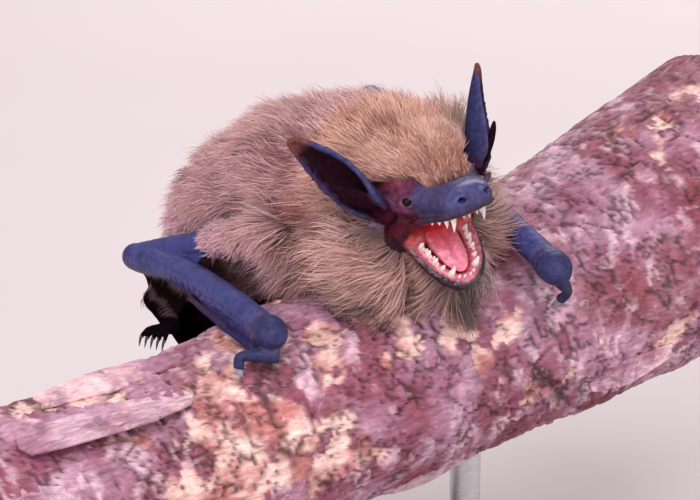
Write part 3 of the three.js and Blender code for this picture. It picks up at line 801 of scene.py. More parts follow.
def onEar(side, u, v):
    root, tall, facing, across = earAxes(side)
    curl, radius = earCurl(v)
    reach = (2 * u - 1) * curl
    out = radius - radius * np.cos(reach) - ear["bend"] * v * (1 - v)
    aside = radius * np.sin(reach) * np.where(reach > 0, ear["rear"], 1)
    return (root + tall * (ear["length"] * v)[:, None] + across * aside[:, None]
            + facing * out[:, None])


# For each tooth: how far back it is, how far out, its height and its radius.
upperTeeth = [(9.35, 0.55, 1.1, 0.34), (9.15, 1.25, 1.0, 0.3), (8.15, 2.2, 2.5, 0.5), (6.95, 2.55, 1.8, 0.5),
              (5.7, 2.85, 1.3, 0.55), (4.4, 3.1, 1.2, 0.55), (3.1, 3.3, 1.1, 0.5)]
lowerTeeth = [(12.35, 0.45, 0.9, 0.28), (12.1, 1.1, 0.9, 0.3), (11.35, 1.85, 2.3, 0.5),
              (10.2, 2.45, 1.2, 0.42), (9.0, 2.85, 1.35, 0.45), (7.7, 3.15, 1.4, 0.52),
              (6.4, 3.4, 1.35, 0.52), (5.1, 3.6, 1.2, 0.5)]


def upperSeat(back, out, side, sink=0):
    return (side * out, -back, -1.85 + sink - 0.1 * (9.3 - back))


# The sizes of the skin. A station is a place, then half width, height and depth.
skin = {
    "voxel": 0.18, "headVoxel": 0.2, "bodyInset": 4.6, "keep": 190000,
    "skull": [((0, 9.8, -0.5), 0), ((0, 7.2, 0.1), 5.8, 4.7, 5.4), ((0, 3.4, 0.4), 6.9, 5.4, 6.0),
              ((0, -0.4, 0.2), 6.1, 4.9, 4.9), ((0, -3.4, -0.3), 5.0, 3.6, 3.2),
              ((0, -6.0, -0.7), 4.2, 2.6, 2.4),
              ((0, -8.4, -0.8), 3.8, 2.45, 1.9), ((0, -10.2, -0.7), 2.9, 2.0, 1.4), ((0, -10.9, -0.7), 0)],
    "cheek": [((4.9, -1.4, -2.4), 0), ((5.0, 0.8, -3.9), 1.2, 1.7), ((5.0, 3.0, -6.0), 2.0, 2.2),
              ((4.6, 5.6, -7.2), 2.4, 2.4), ((3.4, 8.4, -7.6), 0)],
    "jaw": [((1.2, -0.4), 0), ((3.2, -0.3), 4.7, 1.6, 2.4), ((5.6, 0.0), 4.8, 1.7, 2.1),
            ((8.6, 0.1), 4.3, 1.5, 1.9), ((11.4, 0.1), 3.2, 1.2, 1.6), ((13.0, 0.1), 1.9, 0.8, 0.9),
            ((13.4, 0.1), 0)],
    "roof": [((0, -9.6, -3.9), 0), ((0, -8.6, -3.9), 2.0, 1.7), ((0, -6.0, -4.0), 2.9, 2.0),
             ((0, -2.6, -4.7), 3.6, 2.6), ((0, 0.6, -5.8), 4.0, 3.2), ((0, 3.6, -6.6), 0)],
    "floor": [((0.5, 3.0), 0), ((3.4, 2.6), 3.6, 2.2), ((6.4, 2.6), 3.3, 2.3), ((9.6, 2.6), 2.5, 2.1),
              ((11.4, 2.5), 1.5, 1.7), ((12.0, 2.5), 0)],
    "pad": [((1.0, -9.0, -0.1), 0), ((1.5, -9.7, -0.1), 1.15, 1.25), ((1.45, -10.5, -0.3), 1.0, 1.1),
            ((1.1, -11.1, -0.5), 0)],
    "nostril": [((1.2, -9.9, 0.15), 0), ((1.7, -10.6, 0.0), 0.62, 0.42), ((2.35, -11.1, -0.3), 0.55, 0.3),
                ((3.4, -11.3, -0.75), 0)],
}
lids = {"aim": (0.86, -0.48, 0.16), "out": 0.6, "ring": 0.78, "thick": 0.3, "long": 1.18, "high": 0.86,
        "bow": -0.10}
eyeball = {"radius": 0.95, "socket": 1.02, "bulge": 0.07}


def alongJaw(stations, **choices):
    return loft([(onJaw(0, *place), *sizes) for place, *sizes in stations], up=jawUp, **choices)


def tubeAlong(points, radius, **choices):
    return limb(points, [radius] * len(points) if np.isscalar(radius) else radius, **choices)


def mirrored(stations, side):
    return [((side * p[0], p[1], p[2]), *sizes) for p, *sizes in stations]


def buildHeadSolid():
    solids = [loft(skin["skull"], 60, 60, square=2.2)]
    for side in (-1, 1):
        solids.append(loft(mirrored(skin["cheek"], side), 36, 30))
        solids.append(loft(mirrored(skin["pad"], side), 28, 28))
    solids.append(alongJaw(skin["jaw"], rings=48, around=48, square=2.5))
    solid = joined("headSolid", solids)
    applied(solid, "REMESH", mode="VOXEL", voxel_size=skin["headVoxel"])
    roof = loft(skin["roof"], 40, 40, square=2.6)
    hollows = [roof, alongJaw(skin["floor"], rings=40, around=40, square=2.6)]
    for side in (-1, 1):
        hollows.append(loft(mirrored(skin["nostril"], side), 20, 16))
        socket = addBall(32, 20, eyeball["socket"])
        movePoints(socket, pointsOf(socket) + np.array(pose["eye"]) * np.array([side, 1, 1]))
        hollows.append(socket)
    lining = joined("lining", [copyOf(hollow, "lining") for hollow in hollows[:2]])
    for hollow in hollows:
        applied(solid, "BOOLEAN", operation="DIFFERENCE", object=hollow, solver="EXACT")
        bpy.data.objects.remove(hollow)
    return solid, lining


# A ring of lid stands round each eye.
def buildLids(side):
    flip = np.array([side, 1, 1])
    aim = unit(np.array(lids["aim"]) * flip)
    fore = unit(np.cross((0, 0, 1), aim))
    over = np.cross(aim, fore)
    bpy.ops.mesh.primitive_torus_add(major_radius=lids["ring"], minor_radius=lids["thick"],
                                     major_segments=40, minor_segments=14)
    ring = bpy.context.object
    flat = pointsOf(ring)
    centre = np.array(pose["eye"]) * flip + aim * lids["out"]
    bow = lids["bow"] * (flat[:, 0] / lids["ring"]) ** 2
    movePoints(ring, centre + fore * (flat[:, :1] * lids["long"]) + over * (flat[:, 1:2] * lids["high"])
               + aim * (flat[:, 2] + bow)[:, None])
    return facingOut(ring)


def buildMouthParts():
    parts = []
    upperLine = [upperSeat(back, out, -1, 0.1) for back, out, *_ in reversed(upperTeeth)]
    upperLine += [upperSeat(back, out, 1, 0.1) for back, out, *_ in upperTeeth]
    parts.append((tubeAlong(upperLine, 0.74, rings=80, around=14), "gum"))
    lowerLine = [onJaw(-out, v, 0.85) for v, out, *_ in reversed(lowerTeeth)]
    lowerLine += [onJaw(out, v, 0.85) for v, out, *_ in lowerTeeth]
    parts.append((tubeAlong(lowerLine, 0.72, rings=80, around=14), "gum"))
    lip = [(4.75, 3.4, 1.0), (4.75, 5.6, 1.15), (4.2, 8.6, 1.15), (3.15, 11.2, 1.05), (1.6, 12.75, 0.85)]
    lowerLip = [onJaw(-x, v, w) for x, v, w in lip] + [onJaw(0, 13.15, 0.75)]
    lowerLip += [onJaw(x, v, w) for x, v, w in reversed(lip)]
    parts.append((tubeAlong(lowerLip, 0.5, rings=90, around=14), "lip"))
    upper = [(5.15, 0.6, -4.7), (4.95, -1.2, -3.8), (4.45, -3.4, -2.75), (3.95, -6.0, -2.3),
             (3.45, -8.3, -2.0), (2.2, -10.0, -1.65)]
    upperLip = [(-x, y, z) for x, y, z in upper] + [(0, -10.5, -1.5)] + list(reversed(upper))
    parts.append((tubeAlong(upperLip, [0.62] * 3 + [0.5] * 7 + [0.62] * 3, rings=90, around=14), "lip"))
    throat = [(4.7, 1.0, -5.2), (3.8, 0.5, -5.7), (2.9, 1.6, -6.1), (1.4, 3.6, -6.4)]
    horseshoe = [(-x, y, z) for x, y, z in throat] + [(0, 4.4, -6.5)] + list(reversed(throat))
    sizes = [0.95, 1.45, 1.9, 2.4, 2.6, 2.4, 1.9, 1.45, 0.95]
    parts.append((tubeAlong(horseshoe, sizes, rings=70, around=24), "lining"))
    return parts


def buildEarParts(side):
    shell = sheet(lambda u, v: onEar(side, u, v), ear["thick"], 56, 60)
    root, tall, facing, across = earAxes(side)

    def at(high, out, rear):
        return root + tall * high + facing * out + across * rear
    spike = loft([(at(1.0, 2.0, -1.1), 0), (at(2.4, 2.5, -1.1), 1.05, 0.5), (at(4.2, 2.9, -0.9), 1.3, 0.42),
                  (at(5.8, 3.0, -0.5), 0.95, 0.36), (at(7.1, 3.0, -0.05), 0)], 30, 24, up=facing)
    base = loft([(at(-2.6, 0.0, 0), 0), (at(-1.2, 0.0, 0), 1.9, 1.6), (at(0.5, 0.0, 0), 2.0, 1.0),
                 (at(1.3, 0.0, 0), 0)], 24, 24, up=facing)
    edge = np.array([(0.02, 0.12), (0.01, 0.22), (0.01, 0.4), (0.02, 0.6), (0.03, 0.8), (0.1, 0.95),
                     (0.5, 1.0), (0.9, 0.96), (0.985, 0.8), (0.99, 0.6), (0.99, 0.4), (0.99, 0.2),
                     (0.98, 0.08)])
    rim = tubeAlong(onEar(side, *edge.T), 0.36, rings=110, around=12)
    lobe = loft([(at(-1.6, 2.0, 0.6), 0), (at(-0.5, 2.6, 0.9), 0.55, 0.4), (at(0.7, 3.0, 1.3), 0)], 18, 16,
                up=facing)
    return [(shell, "ear"), (spike, "tragus"), (base, "ear"), (rim, "earRim"), (lobe, "lobe")]


armSize = {"elbow": 1.85, "bulge": 1.95, "middle": 1.75, "wrist": 2.25}
fingerSpan = [(0.97, 0.75), (0.8, 0.66), (0.6, 0.42), (0.42, 0.16), (0.1, 0.0)]


def fingerPoint(b, along, aside, rise=0.0, out=0.0):
    base = mix(b["elbow"], b["wrist"], along) + aside * b["fingerShift"]
    return base + np.array([0, 0, rise]) + out * unit(b["fingerShift"] * np.array([1, 1, 0]))


# The forearm's bowed middle line between two ends.
def forearmLine(b, start, end):
    elbow, wrist = b["elbow"], b["wrist"]
    bow = np.array([-0.74 * np.sign(elbow[0]), 0, 1.07])
    return [start, mix(elbow, wrist, 0.3) + bow, mix(elbow, wrist, 0.7) + 0.85 * bow, end]


def buildArmParts(b):
    elbow, wrist, shoulder = b["elbow"], b["wrist"], b["shoulder"]
    inner = shoulder * np.array([0.35, 1, 1]) + np.array([0, -1.5, 2.0])
    forearm = forearmLine(b, mix(elbow, shoulder, 0.005), mix(elbow, wrist, 0.99))
    parts = [
        (limb([inner, shoulder, mix(shoulder, elbow, 0.5), mix(shoulder, elbow, 0.97)],
              [2.0, 1.7, 1.95, armSize["elbow"] + 0.05], rings=50), "arm"),
        (limb(forearm, [armSize["elbow"] + 0.1, armSize["bulge"] + 0.05, armSize["middle"] + 0.05, 1.8],
              rings=60, around=28), "arm"),
        (limb([mix(elbow, wrist, 0.95), wrist, mix(elbow, wrist, 1.03), mix(elbow, wrist, 1.052)],
              [1.95, armSize["wrist"], 1.75, 0.9], rings=30, around=28), "knuckle"),
        (limb(b["thumb"], [0.95, 0.64, 0.7], rings=30, around=20), "thumb")]

    def web(u, v):
        slack = 1 - 0.3 * v * np.sin(math.pi * u)
        upper = elbow + (shoulder - elbow) * (0.03 + 0.74 * v * slack)[:, None]
        lower = elbow + (wrist - elbow) * (0.02 + 0.50 * v * slack)[:, None]
        return upper + (lower - upper) * u[:, None]
    parts.append((sheet(web, 0.75), "web"))
    for k in (-1, 0, 1):
        line = [fingerPoint(b, along, aside, 0.68 * k, 0.25 * abs(k)) for along, aside in fingerSpan]
        parts.append((limb(line, [0.56, 0.44, 0.38, 0.36, 0.32], rings=60, around=14), "finger"))

    def fold(u, v):
        along = 0.3 + 0.66 * v
        upper = elbow + (wrist - elbow) * along[:, None]
        aside = np.interp(along, [0.3, 0.42, 0.6, 0.8, 1], [0.2, 0.24, 0.44, 0.64, 0.7])
        sag = np.array([0, 0, -0.9]) * np.sin(math.pi * u)[:, None]
        return upper + b["fingerShift"] * (aside * u)[:, None] + sag
    parts.append((sheet(fold, 0.5, 16, 60), "fold"))

    def wing(u, v):
        upper = elbow + (wrist - elbow) * (0.04 + 0.42 * v)[:, None]
        lower = b["knee"] + (b["ankle"] - b["knee"]) * (0.1 + 0.88 * v)[:, None]
        at = upper + (lower - upper) * u[:, None]
        ripple = 0.5 * np.sin(9 * v + 3 * u) * np.sin(math.pi * u)
        droop = np.array([0, 0, 1.2]) * (np.sin(math.pi * u) * (1 - v))[:, None]
        return at - droop + np.array([0.7, 0, 0]) * ripple[:, None]
    parts.append((sheet(wing, 0.55, 50, 50), "membrane"))
    return parts


def buildLegParts(b):
    hip, knee, ankle, toes = b["hip"], b["knee"], b["ankle"], b["toes"]
    parts = [(limb([hip, mix(hip, knee, 0.45), knee], [2.6, 1.9, 1.45]), "thigh"),
             (limb([knee, mix(knee, ankle, 0.4), ankle], [1.5, 1.3, 1.05]), "leg")]
    ball = mix(ankle, toes, 0.45) + np.array([0, 0, 0.5])
    sole = [(mix(ankle, toes, -0.1), 0), (mix(ankle, toes, 0.1), 0.95, 0.8), (ball, 1.35, 0.7),
            (mix(ankle, toes, 0.62), 0)]
    parts.append((loft(sole, 24, 20), "leg"))
    forward = unit(toes - ankle)
    spread = unit(np.cross((0, 0, 1), forward))
    b["toeEnds"] = []
    for k in (-2, -1, 0, 1, 2):
        start = ball + spread * 0.5 * k - forward * 0.6
        middle = start + forward * 1.9 + spread * 0.26 * k + np.array([0, 0, 0.35])
        end = middle + forward * 1.2 + spread * 0.12 * k + np.array([0, 0, -0.6])
        parts.append((limb([start, middle, end], [0.36, 0.3, 0.28], rings=20, around=12), "toe"))
        b["toeEnds"].append((middle, end, end + forward * 0.6 + np.array([0, 0, -1.1])))

    def tailSkin(u, v):
        shank = knee + (ankle - knee) * (0.06 + 0.8 * v)[:, None] + np.array([0, 0.3, -0.6])
        tail = lineThrough(tailLine, 0.1 + 0.84 * v)
        bow = np.sin(math.pi * u)[:, None]
        return tail + (shank - tail) * (0.02 + 0.93 * u)[:, None] + np.array([0, 1.5, -2.5]) * bow
    parts.append((sheet(tailSkin, 0.55, 50, 50), "membrane"))
    return parts


def buildBodyParts():
    inset = skin["bodyInset"]
    back = loft([((0, 4.0, -5.5), 0), ((0.3, 8.5, -4.6), 12.0, 12.6, 8), ((0.3, 16, -4.2), 13.6, 12.4, 10),
                 ((0, 25, -5.6), 14.2, 11.8, 12.6), ((-0.7, 34, -9.2), 13.2, 11.2, 11.9),
                 ((-1.5, 43, -13.6), 11.6, 9.4, 10), ((-2, 51, -17.6), 8.2, 6.8), ((-2.2, 55.6, -20), 0)],
                60, 60, inset=inset)
    breast = loft([((0, -1.5, -12.5), 0), ((0, 2.0, -11.5), 9.0, 5.5, 6), ((0, 8, -9.5), 12.6, 7, 9),
                   ((0, 16, -9), 0)], 36, 40, inset=inset - 1)
    neck = loft([((0, 0.5, -2), 0), ((0.6, 4, -1.2), 10.4, 10.4, 9), ((0.8, 9, -1), 12.0, 11.6, 9),
                 ((0.5, 15, -3), 12.0, 11.6, 7), ((0, 21, -5), 0)], 40, 44, inset=inset)
    belly = loft([((-1, 8, -12), 0), ((-3.5, 15, -12.8), 5.6, 4, 3.4), ((-4, 26, -14.2), 5.6, 4, 3.2),
                  ((-3.8, 35, -17.2), 5.2, 4, 2.8), ((-2.5, 43, -18.5), 0)], 30, 36)
    tail = limb(tailLine, [1.9, 1.3, 1.0, 0.8, 0.5], rings=50)
    return [(belly, "trunk"), (back, "trunk"), (breast, "trunk"), (neck, "trunk"), (tail, "tail")]


def gatherLabels(parts):
    tree = KDTree(sum(len(obj.data.vertices) for obj, _ in parts))
    kinds = sorted({label for _, label in parts})
    codes = []
    for obj, label in parts:
        for point in pointsOf(obj):
            tree.insert(point, len(codes))
            codes.append(kinds.index(label))
    tree.balance()
    return kinds, lambda points: np.array([codes[tree.find(point)[1]] for point in points])


def smoothed(obj, values, rounds):
    a, b = readAll(obj.data.edges, "vertices", 2, np.int32).T
    count = np.maximum(np.bincount(a, minlength=len(values)) + np.bincount(b, minlength=len(values)), 1)
    for _ in range(rounds):
        total = np.bincount(a, values[b], len(values)) + np.bincount(b, values[a], len(values))
        values = 0.5 * values + 0.5 * total / count
    return values


# How freely each kind of skin may be thinned out: the furred skin most, the face hardly.
thinning = {"trunk": 1.0, "thigh": 0.8, "tail": 0.5, "membrane": 0.6, "leg": 0.4, "web": 0.35, "fold": 0.4,
            "arm": 0.3, "toe": 0.25, "finger": 0.2, "knuckle": 0.25, "thumb": 0.2, "ear": 0.22, "face": 0.12}


# Skin is inside the mouth where it lies this close to the lining and faces against it.
mouth = {"within": 18, "reach": 0.6, "facing": -0.1, "full": 0.15, "fade": 0.3}


def buildSkin():
    headSolid, lining = buildHeadSolid()
    headParts = [(headSolid, "face"), (buildLids(-1), "lid"), (buildLids(1), "lid"), *buildMouthParts(),
                 *buildEarParts(-1), *buildEarParts(1)]
    for obj, _ in headParts:
        inHead(obj)
    inHead(lining)
    parts = headParts + buildBodyParts()
    for b in sides.values():
        parts += buildArmParts(b) + buildLegParts(b)
    kinds, codesAt = gatherLabels(parts)
    obj = joined("batSkin", [part for part, _ in parts])
    applied(obj, "REMESH", mode="VOXEL", voxel_size=skin["voxel"])
    applied(obj, "SMOOTH", factor=0.5, iterations=3)
    print("skin remeshed", len(obj.data.polygons))
    found = codesAt(pointsOf(obj))
    weights = np.array([thinning.get(kind, 0.04) for kind in kinds])[found]
    group = obj.vertex_groups.new(name="thinning")
    for weight in np.unique(weights):
        group.add(np.where(weights == weight)[0].tolist(), float(weight), "REPLACE")
    applied(obj, "DECIMATE", ratio=skin["keep"] / (2 * len(obj.data.polygons)), vertex_group="thinning",
            vertex_group_factor=2.0)
    obj.vertex_groups.clear()
    print("skin thinned", len(obj.data.polygons))
    points = pointsOf(obj)
    normals = normalsOf(obj)
    found = codesAt(points)
    masks = {kind: (found == i).astype(float) for i, kind in enumerate(kinds)}
    surface = BVHTree.FromObject(lining, bpy.context.evaluated_depsgraph_get())
    inMouth = np.zeros(len(points))
    for i in np.where(np.linalg.norm(points, axis=1) < mouth["within"])[0]:
        _, out, _, gap = surface.find_nearest(Vector(points[i]), mouth["reach"])
        if out is not None and out.dot(Vector(normals[i])) < mouth["facing"]:
            inMouth[i] = 1 - min(max((gap - mouth["full"]) / mouth["fade"], 0), 1)
    bpy.data.objects.remove(lining)
    masks["hollow"] = inMouth * np.maximum(masks["face"], masks["lining"])
    masks = {kind: smoothed(obj, mask, 2) for kind, mask in masks.items()}
    return obj, points, masks


# The colours of the bare skin.
skinTones = {word: shade(code) for word, code in {
    "arm": "41447a", "armBlotchAndShade": "24243f", "knuckle": "35365f", "thumb": "33355a", "finger": "35305a",
    "fold": "10070b", "membrane": "120709", "leg": "0e080d", "tail": "2c2430", "muzzle": "35304e",
    "nose": "3a3860", "mask": "401222", "maskPale": "80496a", "corner": "4a1018", "lipFront": "2a1420",
    "lipBack": "8a3c38", "gum": "c86c84", "lining": "ba4244", "palate": "c8403f",
    "earIn": "241019", "earOut": "34365c", "earRim": "4a4468", "earTip": "6a403c", "earRidgeTintAndHighlight": "3c2c58",
    "brow": "6e2418"}.items()}
# The skin under the coat has the coat's own colours, darker.
underCoat = 0.42
coatSeed = 3


def earPlace(points, side):
    root, tall, facing, across = earAxes(side)
    local = points - root
    v = np.clip(local @ tall / ear["length"], 0, 1)
    curl, radius = earCurl(v)
    deep = radius - local @ facing - ear["bend"] * v * (1 - v)
    aside = local @ across
    aside = np.where(aside > 0, aside / ear["rear"], aside)
    return 0.5 + 0.5 * np.arctan2(aside, deep) / curl, v, np.hypot(aside, deep) < radius


def jawPlace(head):
    y, z = head[:, 1] - jaw["hinge"][1], head[:, 2] - jaw["hinge"][2]
    c, s = math.cos(jawDip), math.sin(jawDip)
    return -y * c - z * s, -y * s + z * c


def ridges(value, width):
    return np.exp(-(((value + 0.5) % 1 - 0.5) / width) ** 2)


# Creases and lumps, as moves along the normals.
def carveSkin(obj, points, masks):
    normals = normalsOf(obj)
    head = points @ headTurn
    move = 0.10 * (noiseAt(points, 2.4, 3, 2) - 0.5)
    for side in (-1, 1):
        near = (masks["ear"] + masks["earRim"]) * (head[:, 0] * side > 0)
        u, v, inside = earPlace(head, side)
        rear = smooth(0.55, 0.9, u) * smooth(0.05, 0.2, v) * (1 - smooth(0.7, 0.95, v))
        move += near * rear * 0.12 * (ridges(v * 8 + 1.6 * u + 2.4 * noiseAt(head, 1.6, 78, 2), 0.2) - 0.4)
        move -= near * inside * 0.05 * ridges(v * 7 + 2 * u, 0.15)
    for b in sides.values():
        gap, share = nearLine(points, [b["elbow"], b["wrist"]])
        radial = points - mix(b["elbow"], b["wrist"], 0.5)
        wiggle = 0.5 * noiseAt(points * np.array([1, 0.3, 1]), 3, 13, 2)
        high = radial @ unit(np.cross(b["wrist"] - b["elbow"], np.cross((0, 0, 1), b["wrist"] - b["elbow"])))
        onArm = (masks["arm"] + masks["web"]) * smooth(3.6, 2.6, gap)
        along = onArm * smooth(0.03, 0.12, share) * smooth(0.62, 0.42, share)
        move -= along * 0.2 * ridges(high * 0.95 + wiggle, 0.11) * smooth(-0.4, 0.3, normals[:, 2])
        move -= onArm * 0.02 * ridges(share * 34 + 2.4 * wiggle, 0.18)
        gap, share = nearLine(points, [mix(b["elbow"], b["wrist"], 0.93), mix(b["elbow"], b["wrist"], 1.04)])
        move -= masks["knuckle"] * 0.07 * ridges(share * 5 + wiggle, 0.16)
    ripple = points[:, 1] * 0.4 + 1.2 * noiseAt(points, 5, 8, 2)
    move -= (masks["membrane"] + masks["fold"]) * 0.10 * ridges(ripple, 0.2)
    face = masks["face"] + masks["lip"]
    wrinkle = noiseAt(head * np.array([0.5, 1, 1.6]), 1.1, 23, 2)
    move -= face * 0.12 * ridges(2.2 * wrinkle, 0.12) * smooth(-8.6, -7.4, head[:, 1])
    noseCrease = np.exp(-((head[:, 1] + 8.75 - 0.25 * head[:, 2]) / 0.28) ** 2)
    move -= face * 0.12 * noseCrease * smooth(-2.0, -0.6, head[:, 2])
    palate = masks["hollow"] * (head[:, 2] > -4.6)
    move += palate * 0.13 * (ridges(head[:, 1] / 1.15, 0.25) - 0.3)
    movePoints(obj, points + normals * move[:, None])


# How furry the skin is. The muzzle, the mask from eye to ear and mouth corner, and the lips are bare.
def furryAt(points, masks):
    head = points @ headTurn
    y, z = head[:, 1], head[:, 2]
    reach, high = jawPlace(head)
    brow = np.interp(y, [-8, -7, -5.5, -4.5, -3, 3], [2.6, 1.5, 1.35, 2.0, 2.75, 2.9])
    brow = brow + 0.5 * (noiseAt(head, 1.3, 5, 2) - 0.5)
    top = smooth(brow - 0.15, brow + 0.25, z)
    rear = smooth(2.5, 3.3, y + 0.1 * z)
    low = smooth(-4.5, -5.3, z + 0.9 * smooth(1.2, -0.6, y))
    chin = smooth(0.75, 0.2, high + 0.35 * smooth(9, 13, reach)) * smooth(13.4, 12.4, reach)
    onJawSide = (high < 1.9) & (reach > 1)
    face = np.where(onJawSide, np.maximum(chin, rear), np.maximum(np.maximum(top, rear), low))
    sleeve = np.zeros(len(points))
    for b in sides.values():
        gap, share = nearLine(points, [b["elbow"], b["shoulder"]])
        sleeve = np.maximum(sleeve, smooth(3.4, 2.8, gap) * smooth(0.56, 0.66, share))
    thigh = masks["thigh"] * smooth(2.2, 1.4, masks["leg"] + masks["thigh"])
    furred = np.clip(masks["trunk"] + masks["arm"] * sleeve + thigh + masks["face"] * face, 0, 1)
    bare = masks["lip"] + masks["lid"] + masks["gum"] + masks["hollow"] + masks["lining"]
    return furred * (1 - np.clip(1.5 * bare, 0, 1))


def paintLimbs(tone, points, normals, masks, patch):
    tone.lay("arm", masks["arm"] + masks["web"])
    for word in ("knuckle", "thumb", "finger", "fold", "membrane"):
        tone.lay(word, masks[word])
    # The legs and toes are near-black: their dark skin, darkened further as painted shade.
    tone.lay("leg", masks["leg"] + masks["toe"])
    tone.lay("tail", masks["tail"])
    for b in sides.values():
        gap, share = nearLine(points, forearmLine(b, mix(b["elbow"], b["wrist"], 0.05), b["wrist"]))
        tone.lay("arm", (masks["fold"] + masks["finger"]) * smooth(2.15, 1.95, gap))
        # A thin near-black line on the down-turned faces just below the forearm, where fingers and fold meet
        # it: painted shade.
        tone.lay("fold", (masks["fold"] + masks["finger"] + masks["arm"]) * np.exp(-((gap - 2.2) / 0.26) ** 2)
                 * smooth(0.3, 0.45, share) * smooth(0.2, -0.1, normals[:, 2]))
    limbs = masks["arm"] + masks["web"] + masks["knuckle"] + masks["thumb"]
    # The arms darken in random patches, and darken on the faces that turn down as painted shade.
    tone.lay("armBlotchAndShade", limbs * (0.55 * smooth(0.5, 0.75, patch) + 0.5 * smooth(0.1, -0.7, normals[:, 2])))
    return limbs


# The muzzle is slate, with a darker mask from the eye to the mouth corner.
def paintFace(tone, head, face, fine):
    y, z = head[:, 1], head[:, 2]
    tone.lay("muzzle", face)
    tone.lay("mask", face * smooth(-4.6, -3.2, y + 0.35 * np.minimum(z, 0)))
    tone.lay("maskPale", 0.75 * face * smooth(-4.2, -2.6, y) * smooth(0.1, 0.8, fine) * smooth(-2.6, -0.6, z))
    tone.lay("corner", 0.8 * face * smooth(-6.0, -3.0, y) * smooth(-1.2, -3.0, z))
    tone.lay("nose", face * smooth(-8.6, -9.2, y))
    # The front of the face is painted lighter on top and a little darker below: painted light and shade.
    tone.scale(1 + face * smooth(-2.8, -4.0, y) * (0.55 * smooth(-2.2, 1.0, z) - 0.1))
    tone.lay("brow", 0.75 * face * np.exp(-((z - 2.35) / 0.35) ** 2) * smooth(-3.5, -1.5, y))


# Lips, gums and the red inside. It gives back where the lower lip turns inwards.
def paintMouth(tone, head, normals, masks, fine):
    reach, high = jawPlace(head)
    onJawSide = smooth(2.4, 1.4, high)
    tone.lay("lipFront", masks["lip"])
    tone.lay("lipBack", masks["lip"] * onJawSide * smooth(9.0, 5.0, reach) * (0.75 + 0.5 * (fine - 0.5)))
    tone.lay("muzzle", masks["lip"] * (1 - onJawSide) * 0.6)
    tone.lay("corner", masks["lip"] * (1 - onJawSide) * smooth(-5.5, -3.0, head[:, 1]))
    inner = smooth(0.0, 0.5, normals @ (headTurn @ np.array(jawUp))) * onJawSide
    rim = np.hypot(head[:, 0] / 4.75, np.maximum(reach - 5.6, 0) / 7.55)
    tone.lay("gum", 0.85 * masks["lip"] * inner * smooth(1.0, 0.93, rim))
    tone.lay("lipFront", masks["face"] * onJawSide * smooth(-0.3, 0.4, high) * smooth(2, 4, reach))
    tone.lay("lining", masks["lining"])
    tone.lay("palate", masks["hollow"] * smooth(0.02, 0.3, masks["hollow"]))
    tone.lay("gum", masks["gum"])
    return inner


def paintEars(tone, head, masks, patch, fine):
    for side in (-1, 1):
        ears = (masks["ear"] + masks["earRim"]) * (head[:, 0] * side > 0)
        u, v, inside = earPlace(head, side)
        tone.lay("earOut", ears)
        tone.lay("earIn", ears * inside)
        tone.lay("earRim", masks["earRim"] * ears)
        worn = 0.45 + 0.9 * fine * smooth(0.5, 0.6, patch)
        tone.lay("earIn", masks["earRim"] * ears * smooth(0.55, 0.8, u) * worn)
        tone.lay("earOut", ears * inside * smooth(0.16, 0.05, u) * smooth(0.95, 0.75, v))
        # Purple on the crests of the raised ridges at the ear's rear: partly the ear's own purple, partly a
        # painted highlight on the crests.
        rear = smooth(0.62, 0.9, u) * smooth(0.05, 0.2, v) * (1 - smooth(0.7, 0.95, v))
        torn = noiseAt(head, 1.6, 78, 2)
        ridge = ridges(v * 8 + 1.6 * u + 2.4 * torn, 0.2) * smooth(0.42, 0.6, torn)
        tone.lay("earRidgeTintAndHighlight", 0.7 * ears * rear * ridge)
        tone.lay("mask", 0.7 * ears * smooth(0.16, 0.0, v))
        tone.lay("earTip", ears * smooth(0.82, 0.95, v))
    tone.lay("earIn", masks["tragus"])
    tone.scale(1 - 0.15 * masks["tragus"])
    tone.lay("earOut", 0.6 * masks["lobe"])


def paintSkin(obj, points, masks, furry):
    head = points @ headTurn
    normals = normalsOf(obj)
    patch = noiseAt(points, 3.5, 2, 3)
    fine = noiseAt(points, 0.9, 4, 2)
    coat = underCoat * coatTone(points, coatSeed)
    face = masks["face"] + masks["lid"]
    tone = Tone(coat, skinTones)
    limbs = paintLimbs(tone, points, normals, masks, patch)
    paintFace(tone, head, face, fine)
    tone.values = mix(tone.values, coat, furry[:, None])
    inner = paintMouth(tone, head, normals, masks, fine)
    paintEars(tone, head, masks, patch, fine)
    tone.scale(0.82 + 0.36 * fine)
    tone.scale(0.88 + 0.24 * patch)
    paint(obj, "skinTone", tone.values)
    wet = masks["hollow"] + masks["lining"] + masks["gum"] + 0.7 * masks["lip"] * inner
    wet = wet + 0.25 * face * smooth(-8.8, -9.6, head[:, 1]) + 0.3 * masks["lip"] + 0.2 * (limbs + face)
    mark(obj, "wet", np.clip(wet, 0, 1))


# Each tooth is a cusp, and the ones at the back have a lower cusp before and behind.
rootDepth = 0.55


